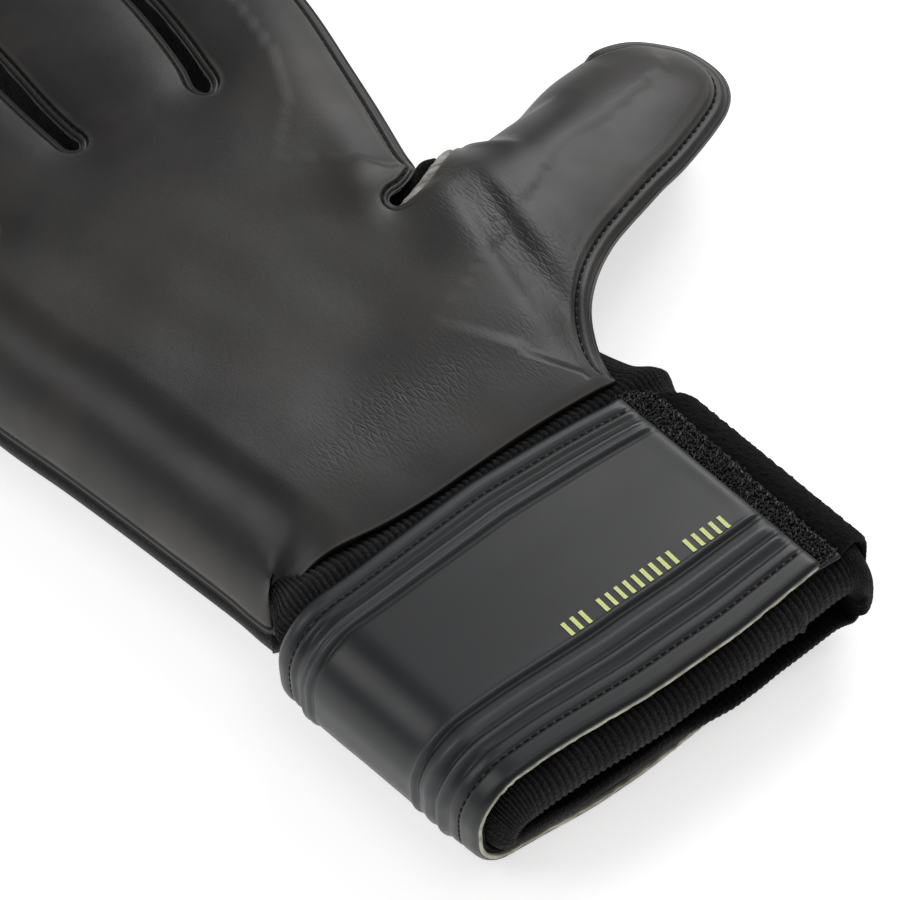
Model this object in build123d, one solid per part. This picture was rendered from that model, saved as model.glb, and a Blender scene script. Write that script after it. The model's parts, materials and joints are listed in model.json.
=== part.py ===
from build123d import *
import os

# Goalkeeper glove for the right hand, lying on its back: +Z out of the palm, +Y to the fingertips, +X to the
# thumb side.  Everything is drawn from a wrist datum and moved to the middle of the footprint at export.
# Three layers make the hollow hand and each hollow digit: a latex palm sheet, fabric side walls, a foam back.
# Each digit is cut at its two flex lines, so that it can bend about the outer face of the palm sheet.

LATEX = 4.0          # palm sheet: foam latex bonded to its backing
BACK = 4.0           # foam backhand panel, flat on the table
WALL = 2.2           # side fabric of hand and digits
LINING = 0.9         # thin lining under the palm sheet
SEAM = 0.05          # between pieces sewn together in one body
GAP = 0.3            # between pieces that move against each other
X_LOW, X_HIGH = -58.5, 122.0     # little finger's outer edge to thumb tip
Y_LOW, Y_HIGH = -72.0, 202.0     # strap's lower corner to middle fingertip

# Height of the palm sheet's outer face along the hand (y, z) and along the thumb (x, z).
HAND_TOP = [(-14, 31.2), (8, 33.6), (35, 35.2), (65, 35.2), (95, 33.2), (125, 30.0), (162, 26.4), (204, 22.0)]
THUMB_TOP = [(49, 34.4), (60, 32.8), (75, 30.6), (88, 28.8), (106, 25.6), (124, 22.0)]

# Digit: flex line at its root, middle flex line and tip (y), then its two edges (x) at the root and at the tip.
FINGERS = {
    "index": (125.0, 159.0, 187.0, (35.5, 67.0), (46.3, 73.6)),
    "middle": (125.0, 164.0, 202.0, (1.4, 31.3), (9.8, 37.8)),
    "ring": (125.0, 160.0, 193.0, (-27.2, -2.8), (-24.4, 0.6)),
    "little": (121.0, 150.0, 172.0, (-58.5, -31.2), (-58.5, -33.8)),
}
TIP_ROUND = 0.40     # tip corner radius as a share of the finger's width
# Rounded end of the slit between each pair of fingers.
SLITS = {("index", "middle"): (30.3, 109.2), ("middle", "ring"): (-1.7, 114.5), ("ring", "little"): (-29.0, 109.0)}
SLIT_R = 2.0
THUMB_ROOT, THUMB_FLEX = 51.0, 88.0      # the thumb's flex lines (x)
THUMB_Y = (12.0, 62.8)                   # its edges at the root

# Cuff: a flattened tube.  Sizes are outside the strap.
CUFF_X = (-57.0, 56.0)
CUFF_HEIGHT = 31.2
CUFF_R = 13.0
STRAP = 1.6          # latex face of the strap
BACKING = 1.6        # foam backing of the strap
SLEEVE = 1.8         # ribbed knit
LOOP, HOOK = 1.2, 0.8
FOLD_X = -44.0       # where the strap folds open, at the little finger's side
STRAP_END, HOOK_END = 34.5, 41.0
RIB_Y, RIB_W, RIB_H = (-17.5, -53.5, -60.0), 2.4, 0.8
WRIST_DRAW = {"dx": -2.5, "narrow": 15.6}    # how the sleeve narrows to go inside the hand


def plan(points, rounds=()):
    """Flat outline seen from above; rounds lists corners to round, as (x, y, radius)."""
    face = make_face(Polyline(*points, close=True))
    for x, y, radius in rounds:
        face = fillet(min(face.vertices(), key=lambda v: (v.X - x) ** 2 + (v.Y - y) ** 2), radius)
    return face


def layer(outline, low, high, track=HAND_TOP):
    """An outline's prism between two heights: numbers, or depths under the track written as ("top", depth)."""
    def line(height):
        return [(s, t - height[1]) if isinstance(height, tuple) else (s, height) for s, t in track]

    ring = line(low) + line(high)[::-1]
    if track is THUMB_TOP:
        side = make_face(Polyline(*[(x, -20, z) for x, z in ring], close=True))
        band = extrude(side, 120, dir=(0, 1, 0))
    else:
        side = make_face(Polyline(*[(-80, y, z) for y, z in ring], close=True))
        band = extrude(side, 220, dir=(1, 0, 0))
    return extrude(outline, 60) & band


def top_at(track, at):
    """Height of a track at a place along it."""
    for (a, za), (b, zb) in zip(track, track[1:]):
        if a <= at <= b:
            return za + (zb - za) * (at - a) / (b - a)


def edge_x(name, y):
    """A finger's two edges at a height y along the hand."""
    root, _, tip, at_root, at_tip = FINGERS[name]
    share = (y - root) / (tip - root)
    return [a + (b - a) * share for a, b in zip(at_root, at_tip)]


def finger_plan(name, low, high, inset=0.0):
    """Outline of a finger between two heights y, the tip's corners rounded when high is its tip."""
    tip = FINGERS[name][2]
    end = high - inset if high == tip else high
    (xl0, xr0), (xl1, xr1) = edge_x(name, low), edge_x(name, end)
    corners = [(xl0 + inset, low), (xl1 + inset, end), (xr1 - inset, end), (xr0 - inset, low)]
    radius = TIP_ROUND * (xr1 - xl1) - inset
    return plan(corners, [(*corners[1], radius), (*corners[2], radius)] if high == tip else ())


nodes = {}

# ---- hand ------------------------------------------------------------------------------------------------------
LITTLE_SIDE = [(-50.0, -6.0), (-50.0, 10.0), (-53.3, 45.0), (-56.9, 78.0), (-57.5, 100.0)]
WRIST_EDGE = [(44.0, -8.0), (33.8, -7.8), (3.5, -5.4), (-24.3, -4.5), (-41.5, -2.6)]
INDEX_SIDE = [(63.6, 111.0), (58.1, 93.0), (50.8, 69.5)]
THUMB_NOTCH = (38.0, 58.4)
HEEL = [(47.4, 7.5), (44.4, 2.6)]

root_x = THUMB_ROOT - GAP / 2
root_y = {name: spec[0] - GAP / 2 for name, spec in FINGERS.items()}
crown = [(edge_x("little", root_y["little"])[0], root_y["little"]), (edge_x("little", root_y["little"])[1],
         root_y["little"]), (edge_x("ring", root_y["ring"])[0], root_y["ring"]),
         (edge_x("index", root_y["index"])[1], root_y["index"])]
hand = plan(LITTLE_SIDE + crown + INDEX_SIDE + [THUMB_NOTCH, (root_x, THUMB_Y[1]), (root_x, THUMB_Y[0])] + HEEL
            + WRIST_EDGE, [(*THUMB_NOTCH, 1.5)])
mouths = [Pos(-3, -8) * Rectangle(90, 24)]
for (right, left), (x, y) in SLITS.items():
    x_left, x_right = edge_x(left, 127)[1], edge_x(right, 127)[0]
    hand -= plan([(x - SLIT_R, y), (x_left, 127), (x_right, 127), (x + SLIT_R, y)])
    hand -= Pos(x, y) * Circle(SLIT_R)
for name in FINGERS:
    (x0, x1), y = edge_x(name, root_y[name]), root_y[name]
    mouths.append(Pos((x0 + x1) / 2, y) * Rectangle(x1 - x0 - 2 * WALL, 8))
mouths.append(Pos(root_x, sum(THUMB_Y) / 2) * Rectangle(8, THUMB_Y[1] - THUMB_Y[0] - 2 * WALL))
inner = offset(hand, -WALL, kind=Kind.INTERSECTION)
for mouth in mouths:
    inner += mouth
walls = layer(hand - inner, BACK + SEAM, ("top", LATEX + SEAM))

nodes["palm_latex"] = layer(hand, ("top", LATEX), ("top", 0))
nodes["backhand_panel"] = layer(hand, 0, BACK)
nodes["palm_lining"] = layer(offset(hand, -WALL - SEAM, kind=Kind.INTERSECTION) - Pos(0, -8) * Rectangle(130, 40),
                             ("top", LATEX + SEAM + LINING), ("top", LATEX + SEAM))
places = {"gusset_little_side": (-52, 60), "gusset_ring_little": SLITS[("ring", "little")],
          "gusset_middle_ring": SLITS[("middle", "ring")], "gusset_index_middle": SLITS[("index", "middle")],
          "gusset_thumb_index": (50, 80), "gusset_thumb_heel": (47, 4)}
for name, (x, y) in places.items():
    nodes[name] = min(walls.solids(), key=lambda s: s.distance_to(Vector(x, y, 16)))

# ---- fingers ---------------------------------------------------------------------------------------------------
for name, (root, flex, tip, _, _) in FINGERS.items():
    for part, low, high in (("base", root + GAP / 2, flex - GAP / 2), ("tip", flex + GAP / 2, tip)):
        outside = finger_plan(name, low, high)
        ring = outside - finger_plan(name, low - 1, high if high == tip else high + 1, WALL)
        nodes[f"{name}_{part}_latex"] = layer(outside, ("top", LATEX), ("top", 0))
        nodes[f"{name}_{part}_gusset"] = layer(ring, BACK + SEAM, ("top", LATEX + SEAM))
        nodes[f"{name}_{part}_back"] = layer(outside, 0, BACK)

# ---- thumb -----------------------------------------------------------------------------------------------------
thumb = plan([(THUMB_ROOT, THUMB_Y[0]), (60.0, 19.8), (71.0, 24.6), (110.0, 33.2), (X_HIGH, 36.5), (X_HIGH, 66.4),
              (64.0, 64.6), (THUMB_ROOT, THUMB_Y[1])], [(X_HIGH, 36.5, 12.0), (X_HIGH, 66.4, 15.0)])
hollow = offset(thumb, -WALL, kind=Kind.INTERSECTION)
hollow += plan([(49, 18.6), (55, 18.6), (55, THUMB_Y[1] - WALL), (49, THUMB_Y[1] - WALL)])
for part, low, high in (("base", THUMB_ROOT + GAP / 2, THUMB_FLEX - GAP / 2), ("tip", THUMB_FLEX + GAP / 2, X_HIGH)):
    cut = Pos((low + high) / 2, 40) * Rectangle(high - low, 80)
    outside = thumb & cut
    nodes[f"thumb_{part}_latex"] = layer(outside, ("top", LATEX), ("top", 0), THUMB_TOP)
    nodes[f"thumb_{part}_gusset"] = layer(outside - hollow, BACK + SEAM, ("top", LATEX + SEAM), THUMB_TOP)
    nodes[f"thumb_{part}_back"] = layer(outside, 0, BACK, THUMB_TOP)

# ---- cuff ------------------------------------------------------------------------------------------------------
cuff_w, cuff_mid = CUFF_X[1] - CUFF_X[0], sum(CUFF_X) / 2


def oval(inset, y, dx=0.0, narrow=0.0):
    """Cross-section of the cuff at a place y, set in from the strap's outer face."""
    across = Plane(origin=(cuff_mid + dx, y, CUFF_HEIGHT / 2), x_dir=(1, 0, 0), z_dir=(0, -1, 0))
    return across * RectangleRounded(cuff_w - 2 * inset - narrow, CUFF_HEIGHT - 2 * inset, CUFF_R - inset)


def tube(outer, inner, y0, y1):
    """Straight piece of cuff wall between two insets, from y1 down to y0."""
    return extrude(oval(outer, y1) - oval(inner, y1), y1 - y0)


def box(x, y, z):
    """Box between pairs of limits."""
    return Pos(sum(x) / 2, sum(y) / 2, sum(z) / 2) * Box(x[1] - x[0], y[1] - y[0], z[1] - z[0])


def sleeve_skin(inset):
    """Filled sleeve, set in: wide under the strap, drawn in at the wrist to fit inside the hand."""
    wide, slim = oval(inset, -16), oval(inset, -8.4, **WRIST_DRAW)
    return extrude(wide, 51) + loft([wide, slim]) + extrude(slim, -18.4)


under = STRAP + BACKING + 3 * SEAM
loop_out = STRAP + HOOK + SEAM + GAP
knit = loop_out + LOOP + 0.25
nodes["cuff_sleeve"] = sleeve_skin(knit) - sleeve_skin(knit + SLEEVE)
nodes["cuff_hem"] = tube(knit, knit + SLEEVE + 0.8, Y_LOW, -67.0 - SEAM)

FLAP_TOP = [(CUFF_X[0] - 1, -10.7), (4.0, -10.7), (22.0, -12.6), (STRAP_END, -15.0)]
flap_plan = plan(FLAP_TOP + [(STRAP_END, -71.7), (CUFF_X[0] - 1, -69.3)])
flap_cut = box((FOLD_X + GAP / 2, 60), (Y_LOW, 0), (20, 60))
face = extrude(flap_plan, 60) & tube(0, STRAP, Y_LOW, 0) & flap_cut
for y in RIB_Y:
    face += box((FOLD_X + 5, STRAP_END - 1), (y - RIB_W / 2, y + RIB_W / 2), (CUFF_HEIGHT - 0.5, CUFF_HEIGHT + RIB_H))
nodes["strap_flap"] = face
pad = extrude(flap_plan, 60) & tube(STRAP + SEAM, under, Y_LOW, 0) & flap_cut
nodes["strap_flap_backing"] = pad & box((-60, 8), (Y_LOW, 0), (0, 60))
hook_top = CUFF_HEIGHT - STRAP - SEAM
nodes["hook_tape"] = box((8 + SEAM, HOOK_END), (-71.9, -15.3), (hook_top - HOOK, hook_top))

wrap_cut = box((-60, FOLD_X - GAP / 2), (-69.3, -10.7), (-1, 60)) + box((-60, 28), (-69.3, -10.7), (-1, 10))
nodes["strap_wrap"] = tube(0, STRAP, Y_LOW, 0) & wrap_cut
nodes["strap_wrap_backing"] = tube(STRAP + SEAM, under, Y_LOW, 0) & wrap_cut
turn = box((10, 60), (-71.0, -13.7), (10, 60)) + box((28 + SEAM, 60), (-71.0, -13.7), (-1, 10))
nodes["loop_band"] = tube(loop_out, loop_out + LOOP, Y_LOW, 0) & turn

# ---- export ----------------------------------------------------------------------------------------------------
os.makedirs("parts", exist_ok=True)
shift = Pos(-(X_LOW + X_HIGH) / 2, -(Y_LOW + Y_HIGH) / 2, 0)
for name, shape in nodes.items():
    solids = shape.solids()
    placed = shift * (solids[0] if len(solids) == 1 else Compound(children=list(solids)))
    export_step(placed, f"parts/{name}.step")
    bb = placed.bounding_box()
    print(f"{name:22s} {len(solids)} {placed.volume:9.0f}  x {bb.min.X:7.1f} {bb.max.X:7.1f}"
          f"  y {bb.min.Y:7.1f} {bb.max.Y:7.1f}  z {bb.min.Z:5.1f} {bb.max.Z:5.1f}")
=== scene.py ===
import json
import math
import bpy
import numpy as np
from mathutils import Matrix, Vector
from mathutils.geometry import delaunay_2d_cdt
from mathutils.kdtree import KDTree


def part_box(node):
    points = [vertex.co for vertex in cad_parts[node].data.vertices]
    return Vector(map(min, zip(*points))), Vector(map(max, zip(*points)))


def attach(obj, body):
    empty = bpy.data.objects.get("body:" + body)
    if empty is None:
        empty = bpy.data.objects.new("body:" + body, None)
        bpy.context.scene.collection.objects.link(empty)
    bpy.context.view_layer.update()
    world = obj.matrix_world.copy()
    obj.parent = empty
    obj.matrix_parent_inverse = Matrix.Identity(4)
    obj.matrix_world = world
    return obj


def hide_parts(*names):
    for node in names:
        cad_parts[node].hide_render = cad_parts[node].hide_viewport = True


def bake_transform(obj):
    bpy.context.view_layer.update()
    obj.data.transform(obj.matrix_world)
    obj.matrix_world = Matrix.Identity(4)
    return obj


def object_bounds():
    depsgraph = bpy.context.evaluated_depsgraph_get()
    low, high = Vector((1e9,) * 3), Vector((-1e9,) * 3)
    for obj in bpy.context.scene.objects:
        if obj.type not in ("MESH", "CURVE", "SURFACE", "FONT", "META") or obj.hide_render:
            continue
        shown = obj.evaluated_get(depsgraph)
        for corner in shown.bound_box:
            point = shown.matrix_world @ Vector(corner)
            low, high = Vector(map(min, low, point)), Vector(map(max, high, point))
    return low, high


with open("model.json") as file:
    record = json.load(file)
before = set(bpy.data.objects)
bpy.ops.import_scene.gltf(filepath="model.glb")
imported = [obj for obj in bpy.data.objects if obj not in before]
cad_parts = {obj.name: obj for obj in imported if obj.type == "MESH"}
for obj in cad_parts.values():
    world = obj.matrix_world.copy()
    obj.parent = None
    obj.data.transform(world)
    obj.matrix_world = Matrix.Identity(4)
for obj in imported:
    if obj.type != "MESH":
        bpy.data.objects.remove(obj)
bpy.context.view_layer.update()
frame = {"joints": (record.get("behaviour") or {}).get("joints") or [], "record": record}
rng = np.random.default_rng(7)

# Shapes are drawn in millimetres from the wrist datum of the part: x to the thumb, y to the fingertips, z up
# out of the palm.  The rest face mount lies at (0, 50, 0) of that datum, which ties it to the row frame.
rest = next(m for m in frame["record"]["mounts"] if m["name"] == "rest_face")["pos_m"]
SHIFT = np.array([rest[0] * 1000, rest[1] * 1000 - 50, 0.0])
JOINT = {j["name"]: np.array(j["pos_m"]) * 1000 - SHIFT for j in frame["joints"]}
DIGITS = ["index", "middle", "ring", "little", "thumb"]


def metres(p):
    """Points in datum millimetres as metres in the row frame."""
    return (np.asarray(p, float) + SHIFT) / 1000


def ease(a, b, x):
    """A smooth step from 0 at a to 1 at b."""
    t = np.clip((np.asarray(x, float) - a) / (b - a), 0, 1)
    return t * t * (3 - 2 * t)


def wave_through(stations, x):
    """A curve through (x, value) stations that is level at each one."""
    xs, vs = np.array(stations, float).T
    i = np.clip(np.searchsorted(xs, x) - 1, 0, len(xs) - 2)
    t = np.clip((x - xs[i]) / (xs[i + 1] - xs[i]), 0, 1)
    return vs[i] + (vs[i + 1] - vs[i]) * t * t * (3 - 2 * t)


def soft_track(stations, blur):
    """A polyline of (place, height) rounded over a length, as a function."""
    xs, vs = np.array(stations, float).T
    grid = np.arange(xs[0] - 40, xs[-1] + 40, 0.5)
    line = np.interp(grid, xs, vs)
    k = int(blur / 0.5) | 1
    w = np.hanning(k + 2)[1:-1]
    line = np.convolve(np.pad(line, k // 2, mode="edge"), w / w.sum(), mode="valid")
    return lambda q: np.interp(q, grid, line)


def bumps(p, size, seed, octaves=3):
    """Smooth noise from -1 to 1 at points, made of fixed random waves about size millimetres long."""
    r, total, out = np.random.default_rng(seed), 0.0, np.zeros(len(p))
    for o in range(octaves):
        part = np.zeros(len(p))
        for _ in range(7):
            d = r.normal(size=p.shape[1])
            d *= 2 ** o * r.uniform(0.7, 1.3) / np.linalg.norm(d)
            part += np.sin(p @ d * (2 * math.pi / size) + r.uniform(0, 6.28))
        out += part / 7 ** 0.5 * 0.55 ** o
        total += 0.55 ** o
    return np.clip(out / total, -1.6, 1.6)


# ---- mesh helpers ------------------------------------------------------------------------------------------
def unit(v):
    return v / np.maximum(np.linalg.norm(v, axis=-1, keepdims=True), 1e-12)


def vertex_normals(v, faces):
    """Normals of the points, weighted by the area of the triangles and quads round them."""
    tri = [f[:3] for f in faces] + [(f[0], f[2], f[3]) for f in faces if len(f) == 4]
    tri = np.array(tri)
    a, b, c = v[tri[:, 0]], v[tri[:, 1]], v[tri[:, 2]]
    n = np.cross(b - a, c - a)
    out = np.zeros_like(v)
    for k in range(3):
        np.add.at(out, tri[:, k], n)
    return unit(out)


def mesh_object(name, v, faces, material, values=None, normals=None):
    """A new object from points in datum millimetres; values are per-point numbers that the material reads."""
    mesh = bpy.data.meshes.new(name)
    mesh.from_pydata([tuple(p) for p in metres(v)], [], [tuple(int(i) for i in f) for f in faces])
    mesh.polygons.foreach_set("use_smooth", [True] * len(mesh.polygons))
    for key, value in (values or {}).items():
        attribute = mesh.attributes.new(key, "FLOAT", "POINT")
        attribute.data.foreach_set("value", np.asarray(value, np.float32))
    if normals is not None:
        mesh.normals_split_custom_set_from_vertices([tuple(n) for n in normals])
    mesh.materials.append(material)
    mesh.validate()
    obj = bpy.data.objects.new(name, mesh)
    bpy.context.scene.collection.objects.link(obj)
    return obj


def part_of(v, faces, keep, values=None, normals=None):
    """The faces where keep is true, with only their own points."""
    faces = [f for f, k in zip(faces, keep) if k]
    used = np.unique(np.concatenate([np.array(f) for f in faces]))
    back = np.full(len(v), -1)
    back[used] = np.arange(len(used))
    faces = [tuple(back[list(f)]) for f in faces]
    values = {k: a[used] for k, a in (values or {}).items()}
    return v[used], faces, values, None if normals is None else normals[used]


def grid_faces(rows, cols, closed=False, flip=False, start=0):
    """Quads over rows of cols points each, numbered from start; closed joins each row into a ring."""
    out = []
    for i in range(rows - 1):
        for j in range(cols if closed else cols - 1):
            a, b = start + i * cols + j, start + i * cols + (j + 1) % cols
            f = (a, b, b + cols, a + cols)
            out.append(f[::-1] if flip else f)
    return out


def settle(obj, spec, slot, *nodes):
    """Put a piece on its body, or bake its place into its points when it spans a joint, and hide the CAD
    nodes it replaces; slot is not used.
    """
    if isinstance(spec, str):
        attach(obj, spec)
    else:
        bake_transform(obj)
    if nodes:
        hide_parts(*nodes)
    return obj


# ---- which body each place of the hand follows -------------------------------------------------------------
ROOT_HALF, FLEX_HALF = 12.0, 10.0       # half lengths of the bending stretch at a digit's root and middle
THUMB_START, THUMB_DIR, THUMB_RUN = np.array([35.0, 54.8]), unit(np.array([1.0, 0.15])), 26.0


def bending(joint, half, axis=1):
    """Both ends of the stretch that bends with a joint, along x (axis 0) or y (axis 1)."""
    way = np.eye(3)[axis]
    return way * (joint[axis] - half), way * (joint[axis] + half)


SPEC = {"hand": "hand"}
for d in DIGITS:
    SPEC[f"{d}_root"] = ("hand", f"{d}_base", *bending(JOINT[f"{d}_root_flex"], ROOT_HALF))
    SPEC[f"{d}_end"] = (f"{d}_base", f"{d}_tip",
                        *bending(JOINT[f"{d}_middle_flex"], FLEX_HALF, 0 if d == "thumb" else 1))
SPEC["thumb_root"] = ("hand", "thumb_base", (*THUMB_START, 0), (*(THUMB_START + THUMB_DIR * THUMB_RUN), 0))
# Lines between neighbouring fingers from index to little, as (y, x), and the thumb's slit, y over x.
SLIT_LINES = [[(100, 27.5), (108, 28.6), (117, 31), (130, 34.6), (145, 37.5), (165, 39.5), (187, 41.4),
               (260, 51)],
              [(100, -2.6), (114, -2.5), (128, -1.7), (145, 0.4), (165, 2.5), (193, 4.7), (260, 9)],
              [(100, -33.8), (107, -33.6), (121, -32.5), (135, -31.7), (150, -31.3), (260, -30)]]
SLIT_X = (33, 36, 40, 44, 47, 50, 55, 58)
SLIT_Y = (55.0, 55.1, 55.8, 57.4, 59.6, 62, 67, 85)


def region(x, y):
    """Name of the stretch of glove that each place (x, y) belongs to."""
    out = np.full(len(x), "hand", dtype=object)
    lines = [np.interp(y, *np.array(s, float).T) for s in SLIT_LINES]
    digit = np.where(x > lines[0], "index",
                     np.where(x > lines[1], "middle", np.where(x > lines[2], "ring", "little")))
    for d in DIGITS[:4]:
        root, flex = JOINT[f"{d}_root_flex"][1], JOINT[f"{d}_middle_flex"][1]
        split = (root + ROOT_HALF + flex - FLEX_HALF) / 2
        mine = (digit == d) & (y > root - ROOT_HALF)
        out[mine] = f"{d}_root"
        out[mine & (y > split)] = f"{d}_end"
    t = (np.stack([x, y], 1) - THUMB_START) @ THUMB_DIR
    below = y < np.interp(x, SLIT_X, SLIT_Y)
    split = (THUMB_START[0] + THUMB_RUN + JOINT["thumb_middle_flex"][0] - FLEX_HALF) / 2 + 1.5
    mine = (t > 0) & below & (y < 90)
    out[mine] = "thumb_root"
    out[mine & (x > split)] = "thumb_end"
    return out


# ---- outline of the palm sheet -----------------------------------------------------------------------------
# Edge styles: how far the sheet drops to its edge, over what length, wrap (1 where it is drawn down round the
# side to a level), width of the seam allowance, bulge of the side fabric, how far in the back's edge lies,
# and seam (1 where a stitched groove runs along the edge).
STYLE = {"side": (0.0, 5.0, 1.0, 2.0, 0.7, 4.2, 1.0), "tip": (3.2, 6.0, 0.0, 2.3, 1.0, 1.5, 1.0),
         "slit": (2.4, 4.0, 0.0, 1.5, 0.0, 0.3, 1.0), "outer": (3.8, 6.5, 0.0, 2.4, 2.0, -0.4, 1.0),
         "notch": (1.4, 3.4, 0.0, 1.3, 0.0, 0.0, 0.7), "bare": (1.2, 3.0, 0.0, 1.2, 0.0, 0.0, 0.0),
         "fold": (0.0, 5.0, 0.8, 1.4, 0.4, 1.0, 0.0), "bend": (1.0, 5.0, 0.4, 1.8, 0.6, 1.5, 0.2),
         "thumb": (5.2, 8.0, 0.0, 3.0, 0.3, 9.0, 1.0), "under": (5.2, 8.0, 0.0, 3.0, 0.2, 12.5, 1.0),
         "heel": (5.2, 8.0, 0.0, 3.0, 0.3, 4.0, 1.0), "wrist": (0.7, 3.0, 0.0, 1.2, 0.0, 3.5, 0.0)}
SIDE_LEVEL, SIDE_RUN = 12.0, 19.0
# Stations of the outline, clockwise from the wrist on the little finger's side, in runs of one style.
OUTLINE = [
    ("wrist", [(-46.2, -1.4)]),
    ("side", [(-49.2, 0.2), (-49.9, 4), (-50.1, 12), (-51.3, 27), (-52.8, 45), (-54.4, 61), (-56.5, 78),
              (-57.7, 100), (-58.2, 125), (-58.2, 148)]),
    ("tip", [(-57.0, 160), (-52.9, 168.6), (-46.2, 171.6), (-39.9, 168.8), (-35.8, 160.5)]),
    ("slit", [(-34.0, 150), (-33.5, 135), (-34.1, 121), (-34.9, 113), (-35.2, 109.0), (-33.6, 107.2),
              (-31.9, 108.9), (-31.7, 113), (-30.9, 121), (-29.9, 135), (-28.6, 150), (-26.8, 168)]),
    ("tip", [(-24.6, 181), (-19.8, 189.4), (-12.0, 192.6), (-4.4, 189.4), (-0.1, 180.5)]),
    ("slit", [(-0.7, 165), (-2.0, 145), (-3.5, 128), (-4.1, 120), (-4.1, 116.2), (-2.5, 114.5),
              (-0.9, 116.2), (-0.8, 120), (0.0, 128), (2.7, 145), (5.8, 165)]),
    ("tip", [(8.8, 189), (14.0, 198.2), (22.8, 201.6), (31.6, 198.6), (36.9, 189.5)]),
    ("slit", [(36.4, 165), (35.8, 145), (33.0, 130), (29.5, 117), (27.1, 110.4), (28.2, 107.9),
              (30.4, 109.4), (32.6, 116), (36.3, 130), (39.3, 145), (42.6, 165)]),
    ("tip", [(45.0, 175.5), (50.4, 183.6), (59.4, 186.6), (67.6, 183.2), (71.4, 175)]),
    ("outer", [(70.6, 165), (68.4, 145), (65.2, 125), (61.9, 111), (56.0, 93), (50.4, 76), (47.0, 66),
               (45.4, 61.4)]),
    ("notch", [(44.2, 59.4), (41.6, 57.9), (38.4, 57.0), (35.2, 56.8), (33.4, 55.6), (33.8, 53.6)]),
    ("bare", [(36.6, 52.8), (41.0, 53.5), (46.5, 55.4), (52.0, 57.9), (57.2, 60.6)]),
    ("fold", [(62.0, 62.8), (68, 64.2), (78, 64.9)]),
    ("bend", [(89, 64.9), (99, 65.4)]),
    ("tip", [(106.4, 64.6), (111.4, 62.9)]),
    ("thumb", [(116.9, 60.0), (120.4, 55.4), (121.6, 48.9), (121.0, 43.6), (118.3, 39.0), (114.3, 35.7)]),
    ("under", [(108.4, 32.9), (94.4, 27.9), (84.0, 25.2), (72.0, 21.9), (63.6, 19.1)]),
    ("thumb", [(54.8, 14.4)]),
    ("heel", [(47.5, 8.6), (42.8, 2.2), (39.0, -5.6)]),
    ("wrist", [(36.8, -9.6), (32.6, -9.2), (21.8, -8.1), (10.0, -7.3), (-2.0, -7.0), (-12.0, -6.7),
               (-21.0, -6.0), (-30.4, -4.4), (-37.0, -2.9), (-42.0, -2.1)])]
SAMPLE_TURN, SAMPLE_MIN, SAMPLE_MAX = 0.26, 0.45, 1.5      # samples lie this turn apart, within these lengths


def smooth_loop(points, passes):
    """Rows of a closed loop evened out with their neighbours."""
    for _ in range(passes):
        points = (np.roll(points, 1, 0) + points * 2 + np.roll(points, -1, 0)) / 4
    return points


def between(a, b, at_a, at_b, t):
    """The place at t on the line that is at a when t is at_a and at b when t is at_b."""
    return (at_b - t) / (at_b - at_a) * a + (t - at_a) / (at_b - at_a) * b


def traced():
    """Closed outline through the stations, thinned by its curvature: places, inward normals, styles."""
    xy = np.array([place for _, places in OUTLINE for place in places], float)
    st = np.array([STYLE[style] for style, places in OUTLINE for _ in places], float)
    n, fine, tags = len(xy), [], []
    for i in range(n):
        p = [xy[(i + k) % n] for k in (-1, 0, 1, 2)]
        k = [0.0]
        for a, b in zip(p, p[1:]):
            k.append(k[-1] + max(np.linalg.norm(b - a), 1e-6) ** 0.5)
        steps = max(3, int(np.linalg.norm(p[2] - p[1]) / 0.12))
        for t in np.linspace(k[1], k[2], steps, endpoint=False):
            q = [between(p[m], p[m + 1], k[m], k[m + 1], t) for m in range(3)]
            q = [between(q[m], q[m + 1], k[m], k[m + 2], t) for m in range(2)]
            fine.append(between(q[0], q[1], k[1], k[2], t))
            f = (t - k[1]) / (k[2] - k[1])
            tags.append(st[i] * (1 - f) + st[(i + 1) % n] * f)
    fine, tags = smooth_loop(np.array(fine), 6), np.array(tags)
    tangent = unit(smooth_loop(np.roll(fine, -1, 0) - np.roll(fine, 1, 0), 10))
    step = np.linalg.norm(np.roll(fine, -1, 0) - fine, axis=1)
    turn = np.linalg.norm(np.roll(tangent, -1, 0) - np.roll(tangent, 1, 0), axis=1)
    turn = turn / np.maximum(2 * step, 1e-6)
    reach = SAMPLE_TURN / np.maximum(smooth_loop(turn[:, None], 30)[:, 0], 1e-3)
    reach = np.clip(reach, SAMPLE_MIN, SAMPLE_MAX)
    keep, run = [0], 0.0
    for i in range(1, len(fine)):
        run += step[i - 1]
        if run >= reach[i]:
            keep.append(i)
            run = 0.0
    xy, tangent = fine[keep], tangent[keep]
    return xy, np.stack([tangent[:, 1], -tangent[:, 0]], 1), smooth_loop(tags[keep], 4)


EDGE, INWARD, PARAM = traced()
DROP, RUN, WRAP, LIP, BULGE, BACK_IN, SEAM = PARAM.T
COUNT = len(EDGE)
CORNER_AT = (EDGE[:, 1] < 7) & (EDGE[:, 0] < -40)       # the drawn-down side ends sharply at the wrist
WRAP[CORNER_AT] = np.round(WRAP[CORNER_AT])


def tree(points):
    kd = KDTree(len(points))
    for i, p in enumerate(points):
        kd.insert((p[0], p[1], 0.0), i)
    kd.balance()
    return kd


def nearest(kd, q):
    """Distance from each place to the nearest point of a tree, and the number of that point."""
    found = [kd.find((p[0], p[1], 0.0)) for p in q]
    return np.array([f[2] for f in found]), np.array([f[1] for f in found])


def dense(select):
    """The outline's chosen samples and points between them, with the sample each belongs to."""
    i = np.flatnonzero(select)
    i = i[select[(i + 1) % COUNT]]
    f = np.arange(0, 1, 0.2)
    a, b = EDGE[i], EDGE[(i + 1) % COUNT]
    pts = (a[:, None] * (1 - f[None, :, None]) + b[:, None] * f[None, :, None]).reshape(-1, 2)
    return pts, np.repeat(i, len(f))


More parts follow.
